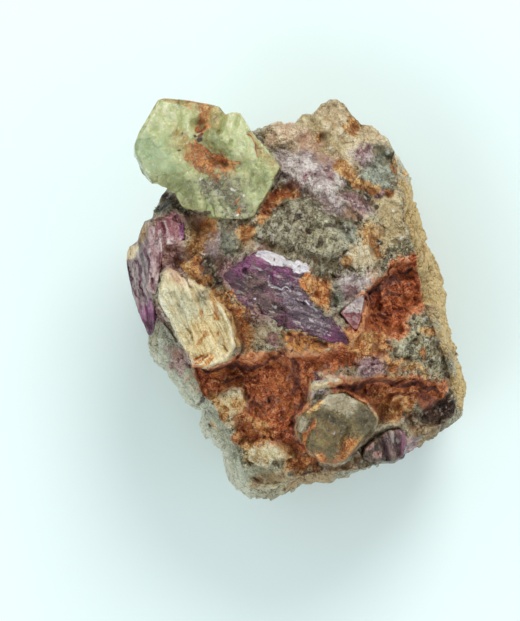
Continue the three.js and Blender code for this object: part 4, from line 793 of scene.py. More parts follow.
# The broken outline's two scales: size, share and seed
RAGGED_SCALES = ((0.6, 1.0, 83), (0.25, 0.5, 84))
# How many banks away from a crystal its seat starts, and how many away the rock counts as near it
SEAT_REACH = 1.5
NEAR_REACH = 1.2
# The rock dives this far under a crystal's top, over this width inside its edge
SEAT_DEPTH = 1.1
SEAT_EDGE = 0.4
# A crystal's rim lies at most this far below its girdle
LEAST_RIM = 1.5
# The rings down a crystal's flanks, and the share of its relief at their top
CRYSTAL_RINGS = 16
CRYSTAL_FLANK_SHARE = 0.6
# Pits are looked for only inside this share of a crystal's top, clear of its rounded edge
CLEAR_OF_EDGE = 0.93
# A drawn groove falls from its rim to its floor by this share of the smooth step
GROOVE_FALL = 0.7
# The last ring of a crystal's underside is this share of the one above it
UNDERSIDE_SHARE = 0.5
# Lengthwise grooves are this many times longer than wide, and so much longer downwards. Finer ones lie over
# them, of this share of their size and depth
GROOVE_STRETCH = 14
GROOVE_DOWN = 0.4
FINER_SIZE = 0.45
FINER_DEPTH = 0.6

RHODIZITE = {
    "middle": (-7.6, 12.4), "under": 12.2, "taper": 0.5, "round": 0.14, "meet": 0.2, "bank": 0.7, "lap": 0,
    "ragged": 0.012,
    "outline": [
        (-1.35, 12), (-1.9, 12.8), (-2.6, 13.5), (-3.3, 14.2), (-4.1, 15.2), (-4.6, 16), (-5, 16.85),
        (-5.5, 16.78), (-5.9, 16.75), (-6.3, 16.6), (-6.6, 16.9), (-7, 17.4), (-7.6, 17.5), (-8, 17.75),
        (-9, 17.85), (-10, 18.05), (-11.9, 18.2), (-12.4, 18.05), (-13.4, 16.6), (-14.2, 15.1), (-14.6, 14),
        (-14.65, 13.1), (-14.3, 12.4), (-14.3, 12.1), (-13.7, 11.3), (-13, 10.4), (-12.4, 10.35),
        (-11.6, 9.95), (-10.9, 9.2), (-10, 8.15), (-9.2, 7.95), (-8.4, 7.7), (-7.6, 7.3), (-7, 7.1),
        (-6, 7.1), (-4.8, 7.05), (-4.2, 7.1), (-3.7, 7.6), (-3.3, 8.3), (-2.8, 9.2), (-2.1, 10.2), (-2, 11),
        (-1.6, 11.5)],
    "girdle": 17.8, "lean": 3.5,
    "sides": [
        (-10.2, 8.2), (-8.8, 7.6), (-7, 7.1), (-4.8, 7.05), (-3.8, 7.3), (-2, 10.4), (-1.35, 11.95),
        (-5, 16.85), (-8, 17.75), (-10, 18.05), (-11.9, 18.2), (-12.5, 18), (-14.2, 15.1), (-14.65, 13.9),
        (-14.6, 13), (-13, 10.3)],
    "tops": [
        (-11, 14.5, 21.2, 0.06, -0.14), (-11.5, 12, 21.2, 0.2, 0.3), (-7, 10, 20.7, -0.04, 0.16),
        (-5.5, 14.5, 21, -0.12, -0.1), (-2.9, 13, 19.9, -0.7, -0.45), (-3.2, 10, 19.9, -0.3, 0.14)],
    "grooves": [
        (0.25, 0.3, [(-5.2, 16.4), (-5.6, 15), (-5.9, 13.8)]),
        (0.2, 0.25, [(-10.6, 17.6), (-10.4, 16.2), (-10.8, 14.8)]),
        (0.9, 0.75, [(-8.6, 18.4), (-8.4, 17), (-8.7, 15.6)]),
        (0.8, 0.8, [(-8.7, 15.6), (-8.6, 14.4), (-7.7, 13), (-6.6, 12.4)]),
        (0.6, 0.5, [(-7.2, 12.7), (-6, 12.15), (-4.7, 11.95)]),
        (1.5, 0.45, [(-9.4, 13.2), (-8.4, 12), (-7.4, 11.2), (-6.4, 11.2)]),
        (0.3, 0.5, [(-6.3, 16.7), (-6.5, 16), (-6.9, 15)]),
        (0.25, 0.25, [(-4.2, 15), (-3.6, 14.1), (-3.3, 13), (-3.4, 12.4)]),
        (1.1, 0.35, [(-8, 10.4), (-6.4, 9.2), (-5.2, 7.9)]),
        (0.5, 0.35, [(-7.9, 9), (-7.6, 8), (-7.3, 7.1)]),
        (0.3, 0.2, [(-11.9, 18), (-12.3, 16.4), (-12.6, 15.2)])],
    "patches": {
        "teal_rhodizite": [
            area(2, (-14.9, 14.8), (-13.2, 15.4), (-12, 14.4), (-11.2, 12.8), (-10, 11.6), (-10.6, 10.4),
                 (-13.2, 11), (-14.6, 12.2))],
        "honey_rhodizite": [
            area(1.2, (-10.9, 15.3), (-9.6, 14.9), (-9.2, 13.6), (-9.2, 11.8), (-10.2, 12.2),
                 (-11.1, 13.8)),
            area(0.9, (-8.2, 18), (-6.9, 17.5), (-6.4, 16.6), (-6.9, 15), (-8, 14.6), (-8.2, 16.5)),
            area(0.6, (-4.3, 15.2), (-3.2, 14.1), (-1.5, 12.1), (-1.9, 11.4), (-3.1, 12.6), (-3.7, 14)),
            vein(0.4, (-12.2, 18.1), (-10.6, 18), (-9.4, 17.8))],
        "olive_rhodizite": [
            # Painted shade: a thin dark line round the outline, where the rounded rim falls away
            vein(0.1, (-4.6, 16), (-5, 16.85), (-6.3, 16.6), (-7, 17.4), (-8, 17.75), (-11.9, 18.2),
                 (-12.4, 18.05), (-14.2, 15.1), (-14.6, 14), (-14.65, 13.1), (-14.3, 12.1), (-13, 10.4),
                 (-11.6, 9.95), (-10, 8.15), (-7.6, 7.3), (-4.8, 7.05), (-3.7, 7.6), (-2.1, 10.2),
                 (-1.35, 12)),
            vein(0.1, (-7.9, 9), (-7.6, 8), (-7.3, 7.1)),
            vein(0.08, (-6.6, 8.4), (-6.5, 7.1)),
            vein(0.08, (-5.4, 8.2), (-5.3, 7.1)),
            area(1.6, (-13.9, 12), (-12, 11.2), (-9.6, 11.4), (-8.6, 10.2), (-8, 7.6), (-10, 7.8),
                 (-11.4, 9.4), (-13.6, 10.4)),
            area(1.6, (-4.8, 11.6), (-3.6, 12.1), (-2.6, 11.2), (-2.2, 10.4), (-3.2, 9.4), (-4.2, 10.4)),
            area(1.2, (-8.2, 15), (-6.8, 14.6), (-5.6, 13.2), (-5, 12.4), (-6.6, 12.6), (-8, 13.6))],
        "cloudy_rhodizite": [
            area(2, (-9.8, 10.9), (-7.6, 11.6), (-6.2, 11.8), (-4.7, 11), (-4.6, 9.6), (-3.7, 8.4),
                 (-4.4, 6.8), (-6.9, 6.9), (-7, 8.3), (-8.9, 9.4))],
        "white_quartz": [
            spot(0.12, (-12.6, 12.2), (-6.1, 16.4), (-8.3, 10.9), (-4.6, 9.2), (-5.3, 8), (-10.7, 17.4),
                 (-7.2, 16.4), (-5.6, 9.6))],
        "ochre_stain": [
            area(0.6, (-9.7, 18), (-8.2, 17.9), (-7.6, 17.5), (-7.8, 16.6), (-8.1, 15.6), (-8.9, 15.6),
                 (-8.6, 16.8), (-9.3, 17.3)),
            area(1, (-9.8, 14.3), (-8.7, 14), (-7.4, 12.8), (-6.2, 12.3), (-5, 12.1), (-5.6, 11.5),
                 (-6.9, 11.3), (-7.2, 10.8), (-8.4, 11.4), (-9.9, 12.4)),
            vein(0.1, (-4.3, 15), (-3.6, 14.1), (-3.4, 13)),
            spot(0.25, (-5.4, 9), (-5.2, 8.3))],
        "limonite": [vein(0.25, (-8.2, 17.6), (-8, 16.4))],
        "rust": [
            spot(0.3, (-8.8, 15.6), (-8.4, 15.3)),
            vein(0.13, (-9, 14.3), (-7.8, 13), (-6.8, 12.4), (-5, 12.1))],
        "brown_crust": [vein(0.2, (-8.9, 14.2), (-8.2, 13.4), (-7.4, 12.7), (-6.2, 12.3), (-4.9, 12.2))],
        "dark_hematite": [spot(0.2, (-8.6, 15.3), (-8.5, 14.8))],
        "dark_mica": [
            spot(0.26, (-8.9, 14.8), (-8.5, 14.4)),
            # Painted shade along the crystal's lower left edge
            vein(0.13, (-11.7, 9.95), (-10.9, 9), (-10, 8.2), (-9, 8), (-8, 7.6)),
            spot(0.1, (-10.2, 14.6), (-10.7, 13.3), (-10.3, 15), (-12.2, 11.9), (-6, 9), (-5.6, 8.7),
                 (-3.5, 8.1), (-8.4, 9.6), (-6.4, 8.2), (-10.1, 17.1))],
    },
}
PURPLE_TOURMALINE = {
    "middle": (-0.6, 0.2), "under": 16.2, "taper": 0.15, "round": 0.04, "meet": 1, "bank": 1.2, "lap": 0.2,
    "outline": [
        (4.4, -4.25), (4.95, -3.8), (4.5, -3), (3.9, -2.2), (3.3, -1.4), (2.5, -1.15), (1.7, -0.7),
        (1.2, 0), (0.8, 0.7), (1, 1.7), (1.25, 2.4), (1.4, 2.9), (1.2, 3.3), (0.2, 3.65), (-1, 4.05),
        (-1.9, 4.3), (-2.8, 4.5), (-3.7, 4.35), (-4.2, 3.9), (-4.9, 3.6), (-5.6, 3), (-6.5, 2.3),
        (-6.4, 1.6), (-6.2, 0.9), (-5.5, -0.2), (-4.8, -0.65), (-3.9, -0.9), (-3.5, -1.7), (-2.6, -2),
        (-1.4, -2.5), (-0.4, -2.65), (0.6, -3.05), (1.8, -3.45), (3, -3.85)],
    "girdle": 19, "lean": 6,
    "sides": [
        (-5.5, -0.3), (-2.6, -2.1), (4.4, -4.3), (4.95, -3.8), (1.45, 2.9), (1.2, 3.4), (-2.8, 4.6),
        (-3.9, 4.4), (-4.9, 3.7), (-6.6, 2.3), (-6.4, 1)],
    "tops": [
        (-1.6, 2.98, 21, -0.133, -0.482), (-1.6, 2.98, 21, 0.059, 0.212), (-3.5, 2.5, 20.8, 0.3, 0.15),
        (1, -1.5, 20.5, -0.1, 0.1), (1, -2.9, 20, 0, 0.5)],
    "grooves": [
        (0.25, 0.25, [(-2.5, 2.5), (-2.2, 1.5), (-1.4, 1.1), (-0.4, 1)]),
        (0.5, 0.35, [(-3.4, 1), (-2.6, 1.1), (-1.8, 0.9)]),
        (0.3, 0.3, [(-4.5, 2.6), (-4.2, 1.2), (-3.6, 0.2)]),
        (0.3, 0.25, [(-1.9, -0.4), (-1.2, -1.4), (-1, -2.3)]),
        (0.25, 0.2, [(0.5, -0.2), (1.4, -1.2), (2.6, -1.9)])],
    "patches": {
        "vivid_tourmaline": [
            area(1, (-6, 2.9), (-4.6, 3.6), (-4, 4), (-3, 3.6), (-1.8, 3.1), (0.1, 2.4), (0, 1.7),
                 (-1.6, 1.6), (-2.4, 2.2), (-3.6, 2.3), (-4.4, 2.5), (-5.6, 2.3)),
            area(0.6, (-3.9, -0.9), (-3.2, -0.9), (-3, -1.6), (-3.8, -1.8)),
            area(0.8, (2.8, -2.6), (4, -2.6), (5, -3.8), (4.2, -4.2), (2.6, -3.8))],
        "lilac_tourmaline": [
            area(1.2, (-1.4, 1.6), (0.3, 1.4), (1, -0.2), (2.8, -1.2), (3.4, -2.2), (2.6, -3), (0.8, -2.4),
                 (-0.9, -0.8), (-1.6, 0.6))],
        "brown_tourmaline": [
            area(1, (-4.5, 2.2), (-3, 2.3), (-2.4, 1.4), (-3.4, 0.9), (-2, 0.4), (-1.2, -0.6), (-2.2, -1.4),
                 (-3.2, -0.8), (-4, 0), (-5, 0.4), (-4.8, 1.4))],
        # Partly painted reflection: pale on the side face that mirrors the key lamp, with thin pale lines
        # and spots
        "silky_tourmaline": [
            area(0.15, (-4, 4.9), (-2.3, 4.6), (-1, 4.2), (0.3, 3.8), (1.4, 3.4), (1.6, 2.7), (1.3, 2.05),
                 (0.3, 2.4), (-0.5, 2.8), (-1.7, 3.1), (-2.5, 3.55), (-3.6, 3.9)),
            vein(0.06, (-2.5, 2.5), (-2.2, 1.5), (-1.4, 1.1), (-0.4, 1)),
            vein(0.06, (0.9, -0.1), (1.6, -0.9), (2.4, -1.2)),
            spot(0.1, (3, -2.8), (3.3, -3.1), (-3.6, -0.1), (-2, -0.6))],
        "dark_mica": [
            spot(0.15, (-3.2, 0.9), (-2.7, 1.1), (-2.3, 1), (-1.8, 0.9), (-4.6, 2.6), (-1.2, -2.2),
                 (-0.4, -2.3), (-2.1, 3.9), (-1, -1.8), (-1.6, 2)),
            vein(0.12, (-3.7, 3.4), (-3.3, 2.8), (-3, 2.4))],
        "rust": [vein(0.3, (-6.5, 1.5), (-5.9, 0.4), (-5.2, -0.5)), spot(0.5, (0.8, 1.3), (1.1, 1.7))],
    },
}
PINK_TOURMALINE = {
    "middle": (5.1, -1.2), "under": 16.4, "taper": 0.1, "round": 0.03, "meet": 0.7, "bank": 0.6,
    "lap": 0.05,
    "outline": [
        (3.55, -1.25), (4.1, -1.9), (4.7, -2.45), (5.2, -2.95), (5.65, -2.8), (5.8, -2.2), (6, -1.4),
        (6.1, -0.4), (6.15, 0.45), (5.9, 0.45), (5.1, -0.1), (4.2, -0.7)],
    "girdle": 18.4, "lean": 8,
    "sides": [
        (3.75, -1.2), (4.7, -2.45), (5.2, -2.95), (5.65, -2.8), (6, -1.7), (6.3, 0.3), (6.05, 0.7),
        (5.1, 0.1), (4.2, -0.55)],
    "tops": [(5, -1.1, 20.4, -0.1, -0.46), (5, -1.1, 20.4, 0, 0.25)],
    "grooves": [],
    "patches": {
        "grey_tourmaline": [
            area(0.15, (4.1, -0.7), (5, -0.1), (6.2, 0.7), (6.2, -0.1), (6, -1.1), (5.2, -1.1),
                 (4.2, -0.95))],
        "dark_mica": [spot(0.12, (5.1, -0.6), (5.6, -0.9))],
    },
}
LEFT_TOURMALINE = {
    "middle": (-13.6, 2.4), "under": 8.6, "taper": 0.35, "round": 0.1, "meet": 1, "bank": 1.2, "lap": 0.35,
    "outline": [
        (-13.45, -3.2), (-13.05, -3.1), (-12.6, -1.6), (-12.2, 0.9), (-11.8, 3.1), (-11.8, 5), (-12.1, 6.6),
        (-12.9, 7.5), (-13.75, 7.1), (-14.2, 5.9), (-14.35, 5.3), (-15.15, 4.85), (-15.35, 4.4),
        (-15.45, 3.6), (-15.2, 1.9), (-14.5, -0.6)],
    "girdle": 16.4, "lean": 12,
    "sides": [
        (-13.45, -3.2), (-13.05, -3.1), (-12.6, -1.6), (-12.2, 0.9), (-11.7, 3.1), (-11.8, 7.1),
        (-12.9, 7.5), (-13.75, 7.1), (-15.3, 4.8), (-15.45, 3.6), (-15.2, 1.9), (-14.5, -0.6)],
    "tops": [(-13.2, 3, 17.8, 0.3, 0), (-13.4, 3, 17.6, 1.5, 0.1), (-13.3, -1.5, 16.9, 0.3, 1.2)],
    "grooves": [
        (0.25, 0.25, [(-13.6, 6.8), (-13.3, 4.8), (-13.2, 3), (-12.9, 1)]),
        (0.2, 0.2, [(-14.6, 4), (-14.3, 2), (-13.8, 0.2), (-13.4, -1.6)]),
        (0.15, 0.15, [(-15, 2.6), (-14.6, 1), (-14.1, -0.8)])],
    "patches": {
        "pink_tourmaline": [
            vein(0.5, (-12.8, 6.8), (-12.7, 4.8), (-12.9, 3), (-13, 1.4)),
            area(0.7, (-13.3, 7.2), (-12.3, 7), (-12, 5), (-12, 3), (-12.4, 1), (-12.9, 1), (-13.1, 3),
                 (-13.3, 5))],
        "red_tourmaline": [area(0.7, (-13, 4.4), (-12.3, 4.2), (-12.2, 2.8), (-12.6, 2.2))],
        # The prism's lower end, partly its own deeper purple and partly painted shade
        "vivid_tourmaline": [
            area(0.9, (-13.9, -0.4), (-12.6, 0.2), (-12.2, -0.9), (-12.2, -2.4), (-13, -3.6), (-14, -2.8))],
        "plum_tourmaline": [
            vein(0.12, (-14.5, 3.6), (-14.1, 1.6), (-13.5, -0.4)),
            vein(0.1, (-15.2, 3), (-14.9, 1.4), (-14.4, 0)),
            vein(0.16, (-13.6, 4.6), (-13.4, 2.4), (-13.2, 0.4))],
        "brown_crust": [area(0.8, (-14.6, 7), (-13.1, 7.2), (-13.4, 5.4), (-14.6, 5))],
        "beige_albite": [spot(0.5, (-14.9, 4.7), (-15.1, 4.3))],
    },
}
LEFT_KNOB = {
    "middle": (-11.6, 6.4), "under": 13, "taper": 0.1, "round": 0.08, "meet": 1, "bank": 1.4, "lap": 0.3,
    "outline": [
        (-12.7, 6), (-12.4, 5.4), (-12, 5), (-11.2, 4.75), (-10.4, 4.9), (-9.9, 5.4), (-9.9, 6.4),
        (-10, 7.2), (-10.4, 7.9), (-11.2, 8.1), (-12, 7.7), (-12.6, 7.1)],
    "girdle": 17.2, "lean": 10,
    "sides": [
        (-12.9, 5.6), (-11.8, 4.8), (-10.6, 4.8), (-9.8, 5.4), (-9.9, 7.2), (-10.5, 8), (-11.4, 8.2),
        (-12.9, 7.2)],
    "tops": [(-11.4, 6.4, 18.5, 0.12, -0.2), (-11.4, 6.4, 18.6, 0.45, 0.05)],
    "grooves": [
        (0.2, 0.3, [(-12.3, 7.3), (-11.9, 6.2), (-11.8, 5.1)])],
    "patches": {
        "pink_tourmaline": [
            area(0.7, (-12, 5.7), (-10.6, 5.7), (-10.8, 5), (-11.8, 4.9)),
            vein(0.12, (-12, 7), (-11.6, 6))],
        "vivid_tourmaline": [vein(0.25, (-10.3, 7.4), (-10.1, 6.6), (-10.4, 5.6))],
    },
}
FELDSPAR_BLADE = {
    "middle": (-8.8, -2), "under": 15.4, "taper": 0.1, "round": 0.06, "meet": 0.7, "bank": 0.35, "lap": 0.1,
    "ragged": 0.045,
    "outline": [
        (-9.3, -6), (-8.6, -6), (-8, -6.15), (-7.4, -6.1), (-6.8, -5.85), (-5.8, -5.45), (-5.2, -4.7),
        (-5.15, -4.3), (-5.5, -3), (-5.9, -2), (-6.2, -1), (-7, 0), (-7.8, 0.9), (-8.5, 1.15), (-9.7, 1.4),
        (-9.8, 2.2), (-10.8, 2.6), (-11.5, 2.9), (-12, 2.6), (-12.2, 1.8), (-12.4, 0.9), (-12.5, 0.1),
        (-12.2, -0.7), (-11.4, -1.8), (-10.7, -3.2), (-10, -4.4), (-9.6, -5.2)],
    "girdle": 18.6, "lean": 7,
    "sides": [
        (-9.4, -6), (-7.8, -6.2), (-6, -5.6), (-5.2, -4.2), (-5.5, -2.4), (-6.3, -0.7), (-7.8, 1.1),
        (-11.3, 2.9), (-11.95, 2.6), (-12.4, 0.9), (-12.5, -0.1), (-11.7, -1.6), (-10.6, -3.8)],
    "tops": [(-8.5, -2, 20.8, 0.16, -0.03), (-10.8, 0, 20.3, 0.45, 0.1), (-9.5, 1.5, 20.3, 0.05, -0.35)],
    "grooves": [
        (0.25, 0.25, [(-9.4, 1), (-8.7, -0.6), (-8.3, -2)]),
        (0.3, 0.35, [(-7.7, 0.6), (-7.2, -0.8), (-6.4, -2.6), (-6, -4.4)]),
        (0.2, 0.2, [(-10.9, 0.6), (-10.2, -1.4), (-9.4, -3.4)]),
        (0.2, 0.25, [(-9.3, -5), (-8.6, -5.2), (-7.6, -4.9)])],
    "patches": {
        "green_feldspar": [
            area(1.4, (-12.6, 1), (-11.4, 1.2), (-9.6, 1), (-8.6, 0), (-8.2, -1.4), (-9.4, -2.2),
                 (-10.6, -2.6), (-11.8, -0.8))],
        "yellow_feldspar": [
            area(1.4, (-9.6, -2), (-8, -1.6), (-6.2, -3.2), (-5.4, -4.4), (-6.2, -5.6), (-8, -5.4),
                 (-9.6, -4.6))],
        "peach_albite": [
            area(0.9, (-12.1, 2.9), (-11.2, 3.2), (-9.6, 2.4), (-9.6, 1.4), (-11.4, 1.5)),
            area(0.7, (-9.7, -5), (-8.8, -4.9), (-8.6, -5.8), (-9.4, -6.2))],
        "green_mica": [
            area(0.6, (-8.8, 1), (-7.9, 0.9), (-7.6, 0), (-8.2, -0.5), (-8.8, 0.2)),
            vein(0.06, (-7, -3.9), (-6.4, -4.2), (-6, -4.7))],
        "white_quartz": [
            spot(0.13, (-7.5, 0.4), (-6.6, -3.6)),
            vein(0.07, (-12.2, 0.6), (-11.8, -0.8), (-10.9, -2.4), (-10.3, -4.2))],
        "limonite": [
            vein(0.25, (-7.6, 0.2), (-7.2, -0.8), (-7, -1.8)),
            vein(0.2, (-6.7, 0), (-6.2, -0.8)),
            spot(0.22, (-8.7, -1.2), (-8.3, -3.3), (-8.6, -3.5), (-7, -3.2), (-8.2, -3))],
        "rust": [
            vein(0.12, (-9.2, -5.3), (-8.4, -4.85)),
            vein(0.13, (-9, -5.7), (-8, -5)),
            vein(0.14, (-8.5, -6), (-7.5, -5.1)),
            vein(0.1, (-8.8, -1), (-8.6, -1.5))],
    },
}
GLASSY_CRYSTAL = {
    "middle": (3.7, -11.4), "under": 14.6, "taper": 0.15, "round": 0.03, "meet": 0.6, "bank": 0.35,
    "lap": 0.08, "ragged": 0.03,
    "outline": [
        (0.1, -12.3), (0.5, -12.9), (0.9, -13.5), (1.8, -14.3), (2.3, -14.75), (3.5, -14.95), (4.5, -14.55),
        (5, -14), (5.8, -13.2), (6.6, -12.1), (7.15, -11.4), (7.3, -10.7), (6.9, -9.9), (6.4, -9.3),
        (5.4, -8.7), (4.3, -8.15), (2.8, -8.3), (1.8, -9.2), (0.6, -10), (0.1, -10.7)],
    "girdle": 17.2, "lean": 8,
    "sides": [
        (0.1, -12.3), (0.9, -13.5), (2.3, -14.75), (3.5, -14.95), (4.5, -14.55), (7.15, -11.4),
        (7.3, -10.7), (6.4, -9.3), (4.3, -8.15), (2.8, -8.3), (0.6, -10), (0.1, -10.7)],
    "tops": [
        (3.2, -12, 19.3, 0.05, 0.18), (3.9, -10.2, 19.7, -0.05, -0.35), (5.5, -11, 19.4, -0.6, -0.05),
        (3.2, -13.8, 18.8, 0, 0.8), (1.6, -11.6, 19, 0.5, 0.1)],
    "grooves": [
        (0.35, 0.5, [(1.6, -10.9), (0.9, -12.2), (0.5, -13.4)]),
        (0.3, 0.15, [(1.2, -9.9), (2.2, -10.1), (3, -10.6), (4.4, -11.2)]),
        (0.25, 0.3, [(4.8, -11.6), (4.2, -12.8), (4.2, -14.2)])],
    "patches": {
        # Partly painted light: lighter grey on the upper face, which faces the key lamp
        "grey_glass": [
            area(0.8, (2.4, -8.2), (4.4, -8), (5.6, -8.8), (5.2, -10.2), (2.8, -10), (1.6, -9.4)),
            spot(0.5, (0.6, -10.9), (0.8, -11.6))],
        # Partly painted shade: darker glass on the right face, which faces away from the lamps
        "dark_glass": [area(0.8, (5.4, -9.6), (6.6, -9.2), (7.3, -10.8), (6.2, -12.2), (5.6, -11))],
        "limonite": [vein(0.18, (1, -10), (1.8, -9.6), (2.6, -9.3))],
        "rust": [vein(0.2, (1.5, -10.9), (0.9, -12.2), (0.5, -13.4)), spot(0.4, (4.9, -13), (2.2, -14.4))],
        "ochre_stain": [
            area(1.2, (4.5, -12.6), (5.6, -12.4), (6.1, -13), (4.4, -14.9), (3.2, -15.1), (3.8, -13.8)),
            area(1.1, (0.4, -13.4), (2.2, -14), (3.4, -15.2), (1, -15))],
        "dark_mica": [
            spot(0.16, (3, -10.7), (3.8, -11), (4.6, -11.2), (4.1, -11.7), (2.2, -10), (1.9, -10.3),
                 (3.6, -12), (2.9, -11.6))],
    },
}
LOWER_TOURMALINE = {
    "middle": (8.1, -13.2), "under": 10.6, "taper": 0.2, "round": 0.06, "meet": 0.7, "bank": 0.8,
    "lap": 0.2,
    "outline": [
        (5.7, -14.5), (6.7, -15.1), (9.1, -15), (10, -14.4), (10.4, -13.2), (10.3, -12.1), (9.6, -11.3),
        (8.3, -11.4), (7.1, -12), (6.2, -12.8), (5.7, -13.4)],
    "girdle": 13.2, "lean": 8,
    "sides": [
        (5.8, -14.5), (6.7, -15.1), (9.1, -15), (10, -14.5), (10.45, -13.2), (10.3, -12.1), (9.5, -11.4),
        (8.3, -11.5), (7.1, -12.3), (6, -13.4)],
    "tops": [(7.7, -12.5, 16.4, 0.05, 0.55), (9.2, -12.5, 16.2, -0.3, 0.3)],
    "grooves": [
        (0.3, 0.5, [(7.2, -11.8), (8, -13.2), (8.4, -14.8)]),
        (0.25, 0.4, [(8.9, -11.4), (9.3, -13), (9.3, -14.8)])],
    "patches": {
        "brown_tourmaline": [area(0.8, (7.8, -12), (9.2, -12), (9.4, -14), (8.2, -14.2))],
        "plum_tourmaline": [
            area(0.7, (8.8, -11.2), (10.2, -11.4), (10.4, -13.4), (9.6, -14.4), (9.3, -12.8))],
        "maroon_grains": [spot(0.4, (6.6, -13.4), (7.4, -14.4))],
    },
}
SEATED = (RHODIZITE, PURPLE_TOURMALINE, PINK_TOURMALINE, LEFT_TOURMALINE, LEFT_KNOB, FELDSPAR_BLADE,
          GLASSY_CRYSTAL, LOWER_TOURMALINE)


def soft_least(faces, rounding):
    """The least of several heights with its edges rounded: minus the rounding times the log of the summed
    exponentials."""
    lowest = faces.min(0)
    return lowest - rounding * np.log(np.exp(-(faces - lowest) / rounding).sum(0))


def crystal_height(places, crystal, sides=True):
    """Height of a crystal's upper side: the least of its faces, with rounded edges. A side face rises from
    the girdle by the distance inside its edge over the tangent of its lean."""
    faces = [z + across * (places[:, 0] - x) + up * (places[:, 1] - y)
             for x, y, z, across, up in crystal["tops"]]
    corners = np.array(crystal["sides"], float)
    for a, b in zip(corners, np.roll(corners, -1, axis=0)) if sides else ():
        inward = np.array([a[1] - b[1], b[0] - a[0]]) / np.hypot(*(b - a))
        faces.append(crystal["girdle"] + ((places - a) @ inward) / math.tan(math.radians(crystal["lean"])))
    return soft_least(np.array(faces), crystal["round"])


def seated(plan, height):
    """The rock's height with a seat for each crystal, and how near a crystal each place is. Outside a
    crystal the rock runs up or down to the crystal's top faces over the bank. Inside, it dives under
    them."""
    broken = wandered(plan, salt=61, reach=0.18)
    nearness = np.zeros(len(plan))
    for crystal in SEATED:
        inside = distance_inside(broken, crystal["outline"])
        near = inside > -SEAT_REACH * crystal["bank"]
        gap = inside[near]
        top = crystal_height(plan[near], crystal, sides=False)
        share = crystal["meet"] * smooth(1 + gap / crystal["bank"])
        level = height[near] + share * (top - height[near])
        under = np.minimum(level, top - SEAT_DEPTH)
        height[near] = level + smooth((gap - crystal["lap"]) / SEAT_EDGE) * (under - level)
        nearness[near] = np.maximum(nearness[near], smooth(NEAR_REACH + gap / crystal["bank"]))
    return height, nearness


def crystal_surface(crystal, cells, relief):
    """A crystal's points, faces and marks: the sheet drawn out to the outline at the crystal's height, less
    its grooves, roughened by the relief, then rings straight down to the underside that taper inwards. A
    groove is as deep as a smooth step of the distance from its line over its half width."""
    middle = np.array(crystal["middle"], float)
    ring, bearing, quads, border = square_sheet(cells)
    rim_here = at_bearing(crystal["outline"], bearing, middle)
    flat_rim = np.column_stack([rim_here, np.zeros(len(rim_here))])
    ragged = sum(share * soft_noise(flat_rim, size, salt) for size, share, salt in RAGGED_SCALES)
    reach = 1 + crystal.get("ragged", RAGGED) * ragged[:, None]
    plan = middle + ring[:, None] * reach * (rim_here - middle)
    top = np.column_stack([plan, np.maximum(crystal_height(plan, crystal), crystal["girdle"] - LEAST_RIM)])
    broken = wandered(plan, salt=17, reach=0.14)
    for half_width, depth, line in crystal["grooves"]:
        top[:, 2] -= depth * smooth(1 - GROOVE_FALL * distance_to_line(broken, line) / half_width)
    top[:, 2] += relief(top)
    rim = top[border]
    rings = []
    for step in range(1, CRYSTAL_RINGS + 1):
        share = step / CRYSTAL_RINGS
        place = np.append(middle, 0) + (1 - crystal["taper"] * share) * (rim - np.append(middle, 0))
        place[:, 2] = rim[:, 2] + share * (crystal["under"] - rim[:, 2])
        out = (place[:, :2] - middle) / np.hypot(*(place[:, :2] - middle).T)[:, None]
        place[:, :2] += out * (relief(place) * CRYSTAL_FLANK_SHARE * (1 - share))[:, None]
        rings.append(place)
    rings.append(np.column_stack([middle + UNDERSIDE_SHARE * (rings[-1][:, :2] - middle),
                                  np.full(len(border), crystal["under"])]))
    points, quads, fan = closed_surface(top, quads, border, rings, np.append(middle, crystal["under"]))
    marks = mineral_weights(points[:, :2], crystal["patches"])
    # The pits' depth, which the material turns into painted shade in the pits and painted light on the
    # ridges
    marks["cavity"] = np.zeros(len(points))
    pits = hollowness(top[:, 2].reshape(cells + 1, cells + 1)).ravel()
    marks["cavity"][:len(top)] = pits * (ring < CLEAR_OF_EDGE)
    return points, quads, fan, marks


def grain_only(*grains):
    """A relief made of broken grains: each a size, how far it stands out, a seed and its sharpness."""
    return lambda places: sum(r * grain_relief(places, s, salt, sharp) for s, r, salt, sharp in grains)


def striated(direction, spacing, depth, salt, *grains):
    """A relief of lengthwise grooves over broken grains: cloudy noise at two scales, stretched along the
    direction."""
    angle = math.radians(direction)
    along = np.array([math.cos(angle), math.sin(angle)])
    across = np.array([-math.sin(angle), math.cos(angle)])
    rough = grain_only(*grains)

    def relief(places):
        u, v = places[:, :2] @ along, places[:, :2] @ across
        stretched = np.stack([u / GROOVE_STRETCH, v, places[:, 2] * GROOVE_DOWN], 1)
        finer = soft_noise(stretched, spacing * FINER_SIZE, salt + 3)
        return depth * soft_noise(stretched, spacing, salt) + FINER_DEPTH * depth * finer + rough(places)
    return relief


# Materials

# Sizes of the patterns inside a mineral: streaky clouds, finer ones and grit
CLOUD_MM = 1.6
FINE_CLOUD_MM = 0.4
GRIT_MM = 0.14
# Large grains are this many times the small ones, and the cracks between them this wide in grains
LARGE_GRAIN = 2.6
CRACK_WIDTH = 0.07
# Grains are bent by clouds of this size, by this much
BEND_MM = 0.6
BEND_REACH_MM = 0.12
# Where a mineral shows its dark, middle and pale colour as its lightness goes from 0 to 1
LIGHTNESS_STOPS = (0.1, 0.5, 0.9)
# How much lightness a pit of a millimetre takes as painted shade, and a ridge gains as painted light
PIT_SHADE = 0.9
# Where the odd-coloured grains begin and are whole, and the most that they cover
ODD_STEP = (0.02, 0.5)
ODD_COVER = 0.45
